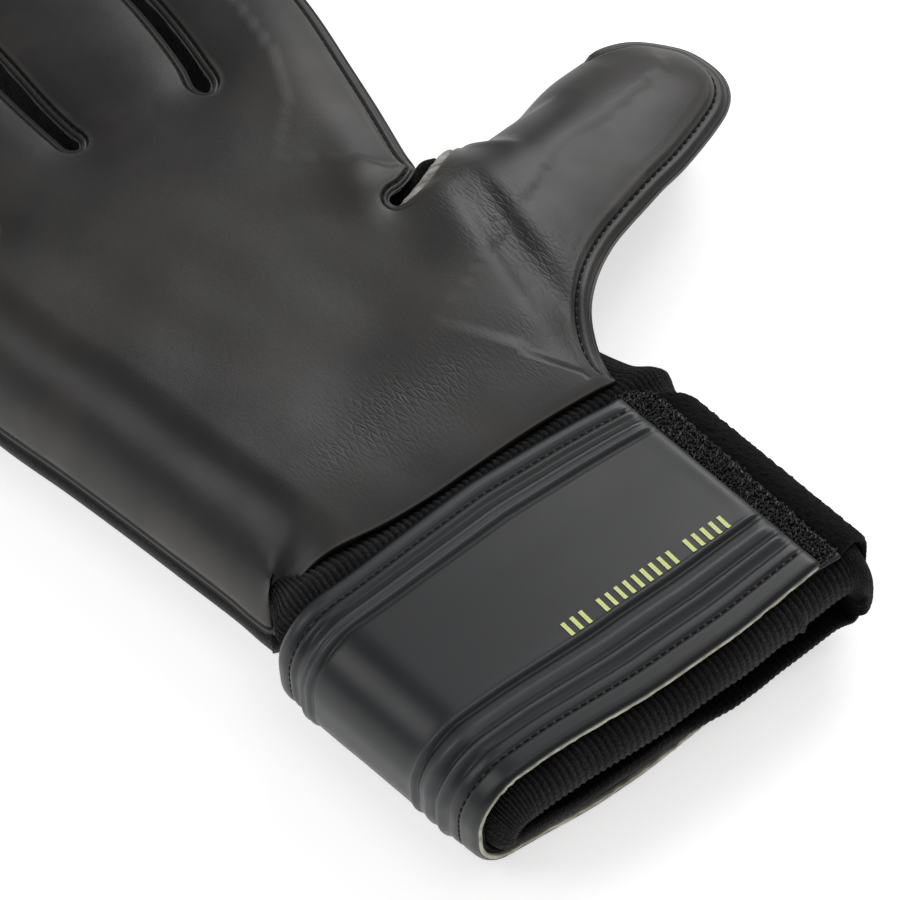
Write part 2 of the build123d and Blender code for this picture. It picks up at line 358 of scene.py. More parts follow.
ALL_PTS, ALL_ID = dense(np.ones(COUNT, bool))
WRAP_PTS, WRAP_ID = dense(WRAP > 0.3)
FLAT_PTS, FLAT_ID = dense(WRAP <= 0.5)
KD_ALL, KD_WRAP, KD_FLAT = tree(ALL_PTS), tree(WRAP_PTS), tree(FLAT_PTS)

# Height of the palm sheet along the hand (over y) and along the thumb (over x).
hand_top = soft_track([(-14, 31.4), (8, 33.4), (35, 35.0), (65, 35.0), (95, 33.2), (125, 30.2), (162, 26.6),
                       (204, 22.4)], 26)
thumb_top = soft_track([(40, 34.6), (60, 32.8), (75, 30.8), (88, 29.0), (106, 26.0), (124, 22.6)], 16)
# Broad swells and hollows of the palm sheet: x, y, height, length, width, direction of the length in degrees.
SWELLS = [(18, 88, 0.7, 30, 20, 80), (-30, 60, -0.9, 34, 20, 95), (8, 48, -1.2, 34, 26, 70),
          (47, 44, 1.3, 16, 11, 70), (70, 46, 1.2, 22, 12, 0), (28, 20, 1.2, 22, 16, 40),
          (30, 64, 0.9, 12, 6, 150), (-22, 12, 0.8, 22, 12, 0), (34, 66, 0.8, 14, 5, 60),
          (-42, 100, 0.5, 22, 10, 90), (44, 96, 0.9, 26, 9, 70), (100, 48, 0.7, 16, 12, 0),
          (-8, 22, -0.7, 22, 14, 20)]
# Creases: from, to, depth, width.
CREASES = [((49.5, 53), (40.2, 2), 1.5, 4.6), ((46.5, 48), (37.5, 14), 0.5, 2.0),
           ((52, 50), (46, 26), 0.45, 1.8), ((38.5, 57), (47, 53.5), 0.6, 2.4)]


def segment(x, y, a, b):
    """Distance from points to a segment, and the share along it."""
    a, d = np.array(a, float), np.array(b, float) - np.array(a, float)
    t = np.clip(((x - a[0]) * d[0] + (y - a[1]) * d[1]) / (d @ d), 0, 1)
    return np.hypot(x - a[0] - d[0] * t, y - a[1] - d[1] * t), t


def in_thumb(x, y):
    """Share of the thumb in the sheet at a place: 0 in the palm, 1 out on the thumb."""
    return ease(36, 62, x) * (y < np.interp(x, SLIT_X, SLIT_Y))


def top_height(x, y):
    """Height of the palm sheet's outer face, away from its edges."""
    s = in_thumb(x, y)
    z = hand_top(y) * (1 - s) + thumb_top(x) * s
    for cx, cy, h, a, b, turn in SWELLS:
        c, q = math.cos(math.radians(turn)), math.sin(math.radians(turn))
        u, v = (x - cx) * c + (y - cy) * q, -(x - cx) * q + (y - cy) * c
        z = z + h * np.exp(-(u / a) ** 2 - (v / b) ** 2)
    for a, b, depth, width in CREASES:
        d, t = segment(x, y, a, b)
        deep = 0.35 + 0.65 * np.sin(np.pi * np.clip(t * 0.9 + 0.05, 0, 1))
        z = z - depth * np.exp(-(d / width) ** 2) * deep
    return z + 0.16 * bumps(np.stack([x, y], 1), 34, 5, 2)


def side_arc(level_drop, arc):
    """Along a quarter ellipse from its steep foot: how far in and below the top, at an arc length."""
    phi = np.linspace(0, math.pi / 2, 400)
    d = SIDE_RUN * (1 - np.cos(phi))
    rise = np.sin(phi)
    out_d, out_z = np.zeros(np.shape(arc)), np.zeros(np.shape(arc))
    for lo in np.unique(np.round(level_drop)):
        run = np.concatenate([[0], np.cumsum(np.hypot(np.diff(d), lo * np.diff(rise)))])
        m = np.round(level_drop) == lo
        out_d[m] = np.interp(arc[m], run, d)
        out_z[m] = 1 - np.interp(arc[m], run, rise)
    return out_d, out_z


def wrap_drop(x, y):
    """How far the drawn-down sides lower the sheet at a place."""
    d, j = nearest(KD_WRAP, np.stack([x, y], 1))
    k = np.clip(1 - d / SIDE_RUN, 0, 1)
    return WRAP[WRAP_ID[j]] * (top_height(x, y) - SIDE_LEVEL) * (1 - np.sqrt(np.maximum(1 - k * k, 0)))


def flat_drop(x, y):
    """How far the edges that aren't drawn down lower the sheet at a place."""
    d, j = nearest(KD_FLAT, np.stack([x, y], 1))
    i = FLAT_ID[j]
    return DROP[i] * np.exp(-d / RUN[i])


# ---- rows of the edge band: seam allowance, stitched groove, then the padded shoulder ----------------------
BAND_FLAT = np.array([0, 0.16, 0.36, 0.6, 0.78, 0.9, 1.0, 1.1, 1.22, 1.45, 1.6, 1.75, 1.9, 2.05, 2.2, 2.35])
BAND_SIDE = np.array([0, 0.16, 0.36, 0.6, 0.78, 0.9, 1.0, 1.1, 1.22, 1.5, 2.1, 3.0, 4.1, 5.3, 6.7, 8.2])
# Height of the sheet's face across the band: the seam's groove lies at 1.
GROOVE = [(0, -0.7), (0.16, -0.35), (0.36, -0.14), (0.6, -0.1), (0.78, -0.3), (0.9, -0.66), (1.0, -0.8),
          (1.1, -0.55), (1.22, -0.14), (1.45, 0.06), (1.9, 0.0), (9, 0)]
ROWS, SEAM_ROW = len(BAND_FLAT), 6
level_drop = top_height(EDGE[:, 0], EDGE[:, 1]) - SIDE_LEVEL
# Where the band is too wide for the outline, its rows would cross, so only a share of it is used there.
room = np.ones(COUNT)
for share in np.arange(1.0, 0.1, -0.1):
    d = BAND_FLAT[-1] * LIP * share
    got, _ = nearest(KD_ALL, EDGE + INWARD * d[:, None])
    room = np.where((room >= share - 1e-9) & (got < d - 0.12), share - 0.1, room)
room = np.minimum(room, smooth_loop(room[:, None], 12)[:, 0])
band_xy, band_z, band_u = [], [], []
for k in range(ROWS):
    arc = LIP * (BAND_FLAT[k] * (1 - WRAP) + BAND_SIDE[k] * WRAP)
    side_d, side_z = side_arc(level_drop, arc)
    d = (arc * (1 - WRAP) + side_d * WRAP) * room
    xy = EDGE + INWARD * d[:, None]
    top = top_height(xy[:, 0], xy[:, 1])
    wrapped = wrap_drop(xy[:, 0], xy[:, 1])
    sure = ease(0.5, 0.95, WRAP)
    wrapped = wrapped * (1 - sure) + WRAP * (top - SIDE_LEVEL) * side_z * sure
    flat = np.where(WRAP > 0.5, flat_drop(xy[:, 0], xy[:, 1]), DROP * np.exp(-d / RUN))
    band_xy.append(xy)
    band_z.append(top - wrapped - flat * np.exp(-wrapped / 6))
    band_u.append(np.full(COUNT, BAND_FLAT[k]))
inner = band_xy[-1]

# ---- the sheet's middle: a fine even net, joined to the band's last row ------------------------------------
STEP = 1.5
gx, gy = np.meshgrid(np.arange(-60, 124, STEP), np.arange(-10, 204, STEP * 0.866))
gx = gx + np.where(np.arange(gx.shape[0])[:, None] % 2, STEP / 2, 0)
grid = np.stack([gx.ravel(), gy.ravel()], 1)


def inside(points, loop):
    """Which places lie inside a closed loop."""
    hit = np.zeros(len(points), bool)
    a, b = loop, np.roll(loop, -1, 0)
    for (x0, y0), (x1, y1) in zip(a, b):
        if y0 != y1:
            m = (points[:, 1] > min(y0, y1)) & (points[:, 1] <= max(y0, y1))
            hit[m] ^= points[m, 0] < x0 + (x1 - x0) * (points[m, 1] - y0) / (y1 - y0)
    return hit


grid = grid[inside(grid, inner)]
clear, _ = nearest(tree(inner), grid)
grid = grid[clear > STEP * 0.55]
flat_points = [Vector(p) for p in np.concatenate([inner, grid])]
loop_edges = [(i, (i + 1) % COUNT) for i in range(COUNT)]
found = delaunay_2d_cdt(flat_points, loop_edges, [], 0, 1e-5)
net = np.array([tuple(p) for p in found[0]])
new_of_old = {}
for new, olds in enumerate(found[3]):
    for old in olds:
        new_of_old[old] = new
net_faces = np.array([f for f in found[2] if len(f) == 3])
net_faces = net_faces[inside(net[net_faces].mean(1), inner)]
signed = np.cross(net[net_faces[:, 1]] - net[net_faces[:, 0]], net[net_faces[:, 2]] - net[net_faces[:, 0]])
net_faces[signed < 0] = net_faces[signed < 0][:, ::-1]

# Palm sheet: band rows 0 .. ROWS-2 as separate points, the last row shared with the net.
net_z = top_height(net[:, 0], net[:, 1])
w = wrap_drop(net[:, 0], net[:, 1])
net_z = net_z - w - flat_drop(net[:, 0], net[:, 1]) * np.exp(-w / 6)
last = np.array([new_of_old[i] for i in range(COUNT)]) + COUNT * (ROWS - 1)
rows_of = [np.arange(COUNT) + k * COUNT for k in range(ROWS - 1)] + [last]
net_z[last - COUNT * (ROWS - 1)] = band_z[-1]
palm = np.concatenate([np.column_stack([xy, z]) for xy, z in zip(band_xy[:-1], band_z[:-1])]
                      + [np.column_stack([net, net_z])])
step_u = np.concatenate(band_u[:-1] + [np.full(len(net), 9.0)])


def band_faces(rows, flip=False):
    """Quads between closed rows of point numbers."""
    out = []
    for a, b in zip(rows, rows[1:]):
        for i in range(COUNT):
            j = (i + 1) % COUNT
            f = (a[i], a[j], b[j], b[i])
            out.append(f[::-1] if not flip else f)
    return out


palm_faces = band_faces(rows_of) + [tuple(f + COUNT * (ROWS - 1)) for f in net_faces]
up = vertex_normals(palm, palm_faces)
if up[:, 2].mean() < 0:
    raise RuntimeError("palm sheet faces the wrong way")


# ---- materials ---------------------------------------------------------------------------------------------
def colour(r, g, b):
    """A colour given in sRGB from 0 to 255, as a linear value for a socket."""
    parts = [c / 255 for c in (r, g, b)]
    return tuple(c / 12.92 if c <= 0.04045 else ((c + 0.055) / 1.055) ** 2.4 for c in parts) + (1,)


class Look:
    """A Principled material whose textures read the pieces' own resting place in millimetres."""

    def __init__(self, name, rough=0.5, specular=0.5, **sockets):
        self.material = bpy.data.materials.new(name)
        self.material.use_nodes = True
        self.nodes, self.links = self.material.node_tree.nodes, self.material.node_tree.links
        self.nodes.clear()
        self.end = self.nodes.new("ShaderNodeOutputMaterial")
        self.shader = self.nodes.new("ShaderNodeBsdfPrincipled")
        self.links.new(self.shader.outputs[0], self.end.inputs[0])
        self.shader.inputs["Roughness"].default_value = rough
        self.shader.inputs["Specular IOR Level"].default_value = specular
        for key, value in sockets.items():
            self.shader.inputs[key.replace("_", " ")].default_value = value
        self.place = self.node("Attribute", attribute_name="rest").outputs["Vector"]
        self.relief = None

    def node(self, kind, inputs=(), **settings):
        n = self.nodes.new("ShaderNode" + kind)
        for key, value in settings.items():
            setattr(n, key, value)
        for key, value in dict(inputs).items():
            if hasattr(value, "is_output"):
                self.links.new(value, n.inputs[key])
            else:
                n.inputs[key].default_value = value
        return n

    def value(self, name):
        return self.node("Attribute", attribute_name=name).outputs["Fac"]

    def where(self, stretch):
        """The resting place, scaled where a texture is stretched."""
        if not stretch:
            return self.place
        return self.node("Mapping", {"Vector": self.place, "Scale": stretch}).outputs[0]

    def noise(self, size, detail=2.0, rough=0.5, warp=0.0, stretch=None):
        return self.node("TexNoise", {"Vector": self.where(stretch), "Scale": 1 / size, "Detail": detail,
                                      "Roughness": rough, "Distortion": warp}).outputs["Fac"]

    def cells(self, size, feature="F1", stretch=None):
        inputs = {"Vector": self.where(stretch), "Scale": 1 / size}
        return self.node("TexVoronoi", inputs, feature=feature).outputs["Distance"]

    def map(self, x, a, b, c=0.0, d=1.0):
        inputs = {0: x, 1: a, 2: b, 3: c, 4: d}
        return self.node("MapRange", inputs, interpolation_type="SMOOTHSTEP").outputs[0]

    def math(self, how, a, b=0.0):
        return self.node("Math", {0: a, 1: b}, operation=how).outputs[0]

    def mix(self, share, a, b):
        n = self.node("Mix", data_type="RGBA")
        for key, value in ((0, share), (6, a), (7, b)):
            if hasattr(value, "is_output"):
                self.links.new(value, n.inputs[key])
            else:
                n.inputs[key].default_value = value
        return n.outputs[2]

    def bump(self, height, depth):
        """Adds relief: height runs 0 to 1 and stands for depth millimetres."""
        inputs = {"Height": height, "Distance": depth / 1000, "Strength": 1.0}
        if self.relief:
            inputs["Normal"] = self.relief
        self.relief = self.node("Bump", inputs).outputs[0]

    def done(self, base, rough=None):
        if hasattr(base, "is_output"):
            self.links.new(base, self.shader.inputs["Base Color"])
        else:
            self.shader.inputs["Base Color"].default_value = base
        if rough is not None:
            self.links.new(rough, self.shader.inputs["Roughness"])
        if self.relief:
            self.links.new(self.relief, self.shader.inputs["Normal"])
        return self.material


def latex_look():
    m = Look("palm_latex_satin", specular=0.45)
    tone = m.noise(46, 2, 0.5, 0.5)
    patch = m.noise(11, 3, 0.55, 0.3)
    warm = m.noise(30, 2, 0.5, 0.3, (1.0, 1.3, 1.0))
    base = m.mix(m.map(tone, 0.34, 0.66), colour(24, 24, 25), colour(42, 40, 38))
    base = m.mix(m.math("MULTIPLY", m.map(warm, 0.5, 0.7), 0.5), base, colour(52, 46, 44))
    # Painted shade: the palm latex is darkened towards near black in the stitched seam groove, where shade
    # falls.
    base = m.mix(m.math("MULTIPLY", m.value("groove"), 0.8), base, colour(9, 9, 10))
    # Painted highlight: a lighter grey laid along the seam's inner shoulder and along edges with no seam,
    # standing in for light caught there.
    base = m.mix(m.math("MULTIPLY", m.value("wear"), 0.5), base, colour(88, 86, 80))
    grain = m.map(m.cells(0.5), 0.0, 0.5)
    line = m.map(m.cells(1.1, "DISTANCE_TO_EDGE", (1.0, 0.34, 1.0)), 0.0, 0.2)
    crease = m.math("MULTIPLY", m.value("crease"), m.math("SUBTRACT", 1.0, line))
    m.bump(m.noise(0.5, 3, 0.6), 0.018)
    m.bump(grain, 0.008)
    m.bump(m.noise(3.6, 3, 0.55), 0.035)
    m.bump(m.math("SUBTRACT", 1.0, crease), 0.07)
    gloss = m.math("ADD", m.math("MULTIPLY", patch, 0.5), m.math("MULTIPLY", tone, 0.5))
    return m.done(base, m.map(gloss, 0.3, 0.7, 0.37, 0.46))


def strap_look():
    m = Look("strap_latex_satin", specular=0.5)
    tone = m.noise(40, 2, 0.5, 0.5)
    base = m.mix(m.map(tone, 0.35, 0.68), colour(22, 24, 27), colour(28, 30, 33))
    # Painted shade: the valleys between the strap's ribs are darkened where shade falls in them.
    base = m.mix(m.math("MULTIPLY", m.value("groove"), 0.75), base, colour(10, 11, 12))
    # Painted highlight: the tops of the strap's ribs are lightened as if catching the light.
    base = m.mix(m.math("MULTIPLY", m.value("ridge"), 0.5), base, colour(88, 90, 94))
    m.bump(m.noise(0.4, 3, 0.6), 0.01)
    m.bump(m.noise(3.0, 3, 0.6), 0.012)
    return m.done(base, m.map(m.noise(16, 2, 0.6), 0.3, 0.7, 0.37, 0.41))


def fabric_look(name, dark, light, pitch=0.8, rough=0.85):
    """A fine warp knit: staggered loops about pitch millimetres wide."""
    m = Look(name, rough, 0.12, Sheen_Weight=0.04, Sheen_Roughness=0.5)
    loops = m.map(m.cells(pitch, "SMOOTH_F1", (1, 1.6, 1.3)), 0.1, 0.6)
    tone = m.noise(14, 3)
    base = m.mix(m.map(tone, 0.3, 0.7), dark, light)
    base = m.mix(m.math("MULTIPLY", loops, 0.55), base, colour(4, 4, 5))
    # Painted shade: where a piece gives groove values, the knit is darkened towards black.
    base = m.mix(m.math("MULTIPLY", m.value("groove"), 0.7), base, colour(3, 3, 3))
    m.bump(m.math("SUBTRACT", 1.0, loops), 0.12)
    m.bump(m.noise(0.22, 2), 0.05)
    return m.done(base)


def velour_look():
    m = Look("loop_velour", 1.0, 0.05, Sheen_Weight=0.06, Sheen_Roughness=0.5)
    tuft = m.noise(0.55, 4, 0.7, 0.8)
    base = m.mix(m.map(tuft, 0.35, 0.72), colour(3, 3, 3), colour(16, 16, 17))
    m.bump(tuft, 0.35)
    m.bump(m.noise(2.4, 3), 0.25)
    return m.done(base)


def hook_look():
    m = Look("hook_tape_nylon", 0.45, 0.5)
    grain = m.map(m.cells(0.7), 0.05, 0.4)
    base = m.mix(grain, colour(40, 40, 41), colour(8, 8, 9))
    m.bump(m.math("SUBTRACT", 1.0, grain), 0.3)
    return m.done(base)


def foam_look():
    m = Look("foam_core_cream", 0.8, 0.3)
    tone = m.noise(3.0, 3)
    base = m.mix(m.map(tone, 0.3, 0.75), colour(206, 204, 184), colour(150, 147, 128))
    m.bump(m.noise(0.35, 3), 0.08)
    return m.done(base)


def back_look():
    m = Look("backhand_foam_embossed", 0.55, 0.35)
    tone = m.noise(20, 3)
    base = m.mix(m.map(tone, 0.3, 0.7), colour(30, 30, 31), colour(42, 42, 43))
    # Painted shade: the pressed channels and the groove by the rolled edge are darkened.
    base = m.mix(m.math("MULTIPLY", m.value("groove"), 0.6), base, colour(14, 14, 15))
    mesh = m.map(m.cells(0.9, "DISTANCE_TO_EDGE"), 0.0, 0.22)
    m.bump(mesh, 0.06)
    m.bump(m.noise(0.4, 2), 0.03)
    return m.done(base)


def tape_look():
    m = Look("rolled_edge_binding", 0.6, 0.4, Sheen_Weight=0.2)
    wrinkle = m.noise(1.6, 3, 0.6, 0.3, (0.5, 2.2, 1.0))
    # Painted light and shade: the binding's grey follows its wrinkles, lighter on their crests and darker in
    # their hollows.
    base = m.mix(m.map(wrinkle, 0.3, 0.7), colour(96, 95, 91), colour(176, 173, 166))
    m.bump(wrinkle, 0.25)
    m.bump(m.noise(0.3, 2), 0.05)
    return m.done(base)


def thread_look():
    m = Look("seam_thread", 0.7, 0.3)
    base = m.mix(m.map(m.noise(0.3, 2), 0.3, 0.7), colour(16, 16, 17), colour(30, 30, 31))
    m.bump(m.noise(0.12, 2), 0.03)
    return m.done(base)


def print_look():
    m = Look("printed_bars", 0.55, 0.4)
    return m.done(m.mix(m.map(m.noise(0.5, 3, 0.7), 0.55, 0.8), colour(232, 240, 158), colour(176, 184, 112)))


LATEX, STRAP, FOAM, HOOKS, VELOUR = latex_look(), strap_look(), foam_look(), hook_look(), velour_look()
BACK, TAPE, THREAD, PRINT = back_look(), tape_look(), thread_look(), print_look()
GUSSET = fabric_look("gusset_knit", colour(12, 12, 13), colour(22, 22, 23))
KNIT = fabric_look("rib_knit_yarn", colour(44, 44, 45), colour(62, 62, 63), 0.7)
LINING = fabric_look("lining_mesh", colour(4, 4, 5), colour(8, 8, 9), 1.2)


def piece(name, v, faces, look, spec, slot, nodes=(), values=None, normals=None):
    """A finished piece on its body, with its resting place stored for the textures."""
    obj = mesh_object(name, v, faces, look, values, normals)
    rest_at = obj.data.attributes.new("rest", "FLOAT_VECTOR", "POINT")
    rest_at.data.foreach_set("vector", np.asarray(v, np.float32).ravel())
    return settle(obj, spec, slot, *nodes)


def cut_by_region(names, v, faces, look, slot, nodes, values=None, normals=None):
    """One piece per stretch of glove, alike along their cuts; names and nodes are asked for each stretch."""
    mid = np.array([v[list(f)].mean(0) for f in faces])
    where = region(mid[:, 0], mid[:, 1])
    made = {}
    for key in ["hand"] + [f"{d}_{e}" for d in DIGITS for e in ("root", "end")]:
        pick = where == key
        if names(key) and pick.any():
            pv, pf, pvals, pn = part_of(v, faces, pick, values, normals)
            made[key] = piece(names(key), pv, pf, look, SPEC[key], slot, nodes(key), pvals, pn)
            if look is GUSSET:
                stretched(made[key], pv, pf, PANEL_WIDE)
    return made


def stretched(obj, v, faces, wide):
    """Work out from a panel's area how wide it would be knit, at most wide metres across; the result is not
    kept.
    """
    quads = np.array(faces)
    corner = [np.asarray(v)[quads[:, k]] for k in range(4)]
    area = 0.5 * np.linalg.norm(np.cross(corner[2] - corner[0], corner[3] - corner[1]), axis=1).sum() / 1e6
    wide = min(wide, max(round(area ** 0.5, 4), 0.01))


def node_of(kind, hand_node=None):
    """CAD nodes of a kind for a stretch: root stands for the digit's base, end for its tip."""
    def nodes(key):
        if key == "hand":
            return [hand_node] if hand_node else []
        return [f"{key.replace('_root', '_base').replace('_end', '_tip')}_{kind}"]
    return nodes


# ---- palm sheet with its cut edge --------------------------------------------------------------------------
LIP_EDGE = [(0.16, 0.1), (0.3, 0.34), (0.42, 1.0), (0.36, 1.8), (0.1, 2.35), (-0.5, 2.65), (-1.6, 2.75)]
edge3 = palm[:COUNT]
edge_up = up[:COUNT]
outward = unit(edge3 - palm[rows_of[1]])
outward = unit(outward - edge_up * (outward * edge_up).sum(1, keepdims=True))
lip_rows, lip_points = [np.arange(COUNT)], []
wave = 0.12 * bumps(np.column_stack([EDGE, np.zeros(COUNT)]), 9, 3, 2)
for k, (a, b) in enumerate(LIP_EDGE):
    lip_points.append(edge3 + outward * (a + wave * (k > 1))[:, None] - edge_up * b)
    lip_rows.append(len(palm) + np.arange(COUNT) + k * COUNT)
palm_all = np.concatenate([palm] + lip_points)
palm_all_faces = palm_faces + band_faces(lip_rows, flip=True)
palm_up = vertex_normals(palm_all, palm_all_faces)
seam_at = np.concatenate([np.tile(SEAM, ROWS - 1), np.zeros(len(net))])
# Painted shade mask: 1 in the bottom of the seam's groove, fading out up its sides.
groove_shade_at = np.interp(step_u, [0.6, 0.85, 1.0, 1.15, 1.4], [0, 0.7, 1, 0.7, 0]) * seam_at
# Painted highlight on the groove's inner shoulder, in random patches, and on the bare cut edge where no seam
# runs.
painted_highlight_at = np.interp(step_u, [1.15, 1.4, 1.8, 2.2], [0, 1, 0.5, 0]) * seam_at
painted_highlight_at *= 0.3 + 0.7 * np.clip(bumps(palm[:, :2], 22, 17, 2), 0, 1)
bare_edge_highlight = np.interp(step_u, [0, 0.3, 0.6], [1, 0.5, 0]) * (1 - seam_at) * (step_u < 8)
painted_highlight_at = np.maximum(painted_highlight_at, bare_edge_highlight * 0.8)
band_room = np.concatenate([np.tile(room, ROWS - 1), np.ones(len(net))])
depth = np.interp(step_u, *np.array(GROOVE).T) * np.clip(band_room * 1.2, 0, 1) * seam_at
depth = np.where(step_u > 8, 0, depth)
pad = len(palm_all) - len(palm)
palm_all = palm_all + palm_up * np.concatenate([depth, np.zeros(pad)])[:, None]
px, py = palm_all[:, 0], palm_all[:, 1]
crease_at = np.zeros(len(palm_all))
CREASED = [((47, 34), 8, 24, 0.8), ((-2, 13), 22, 9, 0.6), ((45, 58), 9, 6, 0.5), ((34, 6), 12, 10, 0.4)]
for (cx, cy), reach_x, reach_y, much in CREASED:
    crease_at = np.maximum(crease_at, much * np.exp(-((px - cx) / reach_x) ** 2 - ((py - cy) / reach_y) ** 2))
crease_at *= 0.5 + 0.5 * np.clip(bumps(palm_all[:, :2], 12, 11, 2) + 0.4, 0, 1)
palm_values = {"groove": np.concatenate([groove_shade_at, np.zeros(pad)]), "crease": crease_at,
               "wear": np.concatenate([painted_highlight_at, np.zeros(pad)])}
palm_up = vertex_normals(palm_all, palm_all_faces)
sheets = cut_by_region(lambda k: "palm_sheet" if k == "hand" else k + "_palm_sheet", palm_all, palm_all_faces,
                       LATEX, "latex", node_of("latex", "palm_latex"), palm_values, palm_up)


STITCH_RING = [(-0.5, -0.3, 0.55), (-0.36, 0, 1), (0, 0.1, 1.05), (0.36, 0, 1), (0.5, -0.3, 0.55)]
STITCH_SIDES = 6
STITCH_FACES = (len(STITCH_RING) - 1) * STITCH_SIDES + 2


def stitched(path, normals, pitch, length, radius, lift, closed=False):
    """Short rounded stitches laid end to end along a path; a ring is (place on it, height, thickness)."""
    if closed:
        path, normals = np.vstack([path, path[:1]]), np.vstack([normals, normals[:1]])
    run = np.concatenate([[0], np.cumsum(np.linalg.norm(np.diff(path, axis=0), axis=1))])
    a = np.linspace(0, 2 * math.pi, STITCH_SIDES, endpoint=False)

    def on(line, q):
        return np.array([np.interp(q, run, line[:, k]) for k in range(3)])

    out, faces = [], []
    for q in np.arange(pitch / 2, run[-1], pitch):
        base = len(out) * STITCH_SIDES
        n = unit(on(normals, q))
        t = unit(on(path, q + 0.3) - on(path, q - 0.3))
        b = np.cross(t, n)
        for u, h, r in STITCH_RING:
            ring = radius * r * (np.outer(np.cos(a), b) + np.outer(np.sin(a), n))
            out.append(on(path, q + u * length) + n * (lift + h * radius * 2) + ring)
        faces += grid_faces(len(STITCH_RING), STITCH_SIDES, closed=True, start=base)
        faces.append(tuple(base + np.arange(STITCH_SIDES))[::-1])
        faces.append(tuple(base + (len(STITCH_RING) - 1) * STITCH_SIDES + np.arange(STITCH_SIDES)))
    return np.concatenate(out), faces


seam_ids = rows_of[SEAM_ROW]
sv, sf = stitched(palm_all[seam_ids], palm_up[seam_ids], 2.3, 1.75, 0.24, 0.12, closed=True)
mid = np.array([sv[list(f)].mean(0) for f in sf]).reshape(-1, STITCH_FACES, 3).mean(1)
_, j = nearest(KD_ALL, mid[:, :2])
where = region(mid[:, 0], mid[:, 1])
where[SEAM[ALL_ID[j]] < 0.6] = "bare"
where = np.repeat(where, STITCH_FACES)
for key in sheets:
    if (where == key).any():
        pv, pf, *_ = part_of(sv, sf, where == key)
        piece(f"{key}_palm_stitches", pv, pf, THREAD, SPEC[key], "latex")

# ---- side fabric between palm sheet and back, and the back itself ------------------------------------------
BACK_EDGE, PANEL_WIDE, DRAW_RUN = 4.4, 0.025, 11.5
under = lip_points[-1]
wall_rows, wall_points = [], []
puff = 1 + 0.35 * bumps(EDGE, 12, 21, 2)
back_edge = np.column_stack([EDGE + INWARD * (BACK_IN + 1.0)[:, None], np.full(COUNT, BACK_EDGE + 0.5)])
for k, t in enumerate(np.linspace(0, 1, 9)):
    swell = math.sin(math.pi * t)
    wrinkle = bumps(np.column_stack([EDGE, np.full(COUNT, t * 9)]), 3.2, 22, 1)
    p = under * (1 - t) + back_edge * t
    p[:, :2] += -INWARD * (BULGE * swell ** 0.8 * puff)[:, None]
    p[:, :2] += -INWARD * (0.12 * swell * wrinkle)[:, None]
    wall_points.append(p)
    wall_rows.append(np.arange(COUNT) + k * COUNT)
wall = np.concatenate(wall_points)
wall_faces = band_faces(wall_rows, flip=True)
wall_up = vertex_normals(wall, wall_faces)
HAND_WALLS = {"gusset_little_side": lambda x, y: x < -46,
              "gusset_ring_little": lambda x, y: (y > 100) & (x < -15),
              "gusset_middle_ring": lambda x, y: (y > 100) & (abs(x) < 15),
              "gusset_index_middle": lambda x, y: (y > 100) & (x > 15) & (x < 50),
              "gusset_thumb_index": lambda x, y: (x > 36.5) & (y > 45),
              "gusset_thumb_heel": lambda x, y: (x > 40.5) & (y < 45)}
mid = np.array([wall[list(f)].mean(0) for f in wall_faces])
where = region(mid[:, 0], mid[:, 1])
for name, test in HAND_WALLS.items():
    pick = (where == "hand") & test(mid[:, 0], mid[:, 1])
    pv, pf, _, pn = part_of(wall, wall_faces, pick, None, wall_up)
    obj = piece(name.replace("gusset", "side_panel"), pv, pf, GUSSET, "hand", "gusset_fabric", [name],
                normals=pn)
    stretched(obj, pv, pf, PANEL_WIDE)
cut_by_region(lambda k: None if k == "hand" else k + "_side_panel", wall, wall_faces, GUSSET, "gusset_fabric",
              node_of("gusset"), normals=wall_up)

# The back: padded foam with pressed channels, its edge rolled up to meet the side fabric.  A row is its share
# of the way to the middle, its height, and how far in it is tucked; a groove runs along GROOVE_ROW.
BACK_ROWS = [(0, BACK_EDGE + 0.5, 1.0), (0, BACK_EDGE, 0.3), (0.0, 3.4, -0.05), (0.0, 2.0, 0.05),
             (0.05, 0.9, 0.5), (0.25, 0.3, 1.0), (0.42, 0.35, 1.0), (0.5, 1.0, 1.0), (0.58, 0.35, 1.0),
             (0.75, 0.1, 1.0)]
GROOVE_ROW, TUCKED = 7, 1.2
CHANNELS = [((-44, 96), (-36, 20)), ((-14, 100), (-12, 16)), ((16, 100), (12, 16)), ((44, 84), (32, 20)),
            ((-44, 96), (-14, 100)), ((-14, 100), (16, 100)), ((16, 100), (46, 90)), ((-38, 46), (34, 46)),
            ((72, 36), (72, 56)), ((86, 38), (86, 58)), ((100, 40), (100, 60))]


def pressed(x, y):
    """Depth of the channels pressed into the back, 0 to 1."""
    lines = list(CHANNELS)
    for d in DIGITS[:4]:
        root, flex = JOINT[f"{d}_root_flex"], JOINT[f"{d}_middle_flex"]
        tip_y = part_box(f"{d}_tip_back")[1][1] * 1000 - SHIFT[1]
        for y0 in np.arange(root[1] + 2, tip_y - 10, 13.5):
            middle = np.interp(y0, [root[1], tip_y], [root[0], flex[0] + (flex[0] - root[0])])
            lines += [((middle + side, y0 + 2.5), (middle, y0)) for side in (-10, 10)]
    out = np.zeros(len(x))
    for a, b in lines:
        d, _ = segment(x, y, a, b)
        out = np.maximum(out, np.exp(-(d / 1.3) ** 2))
    return out


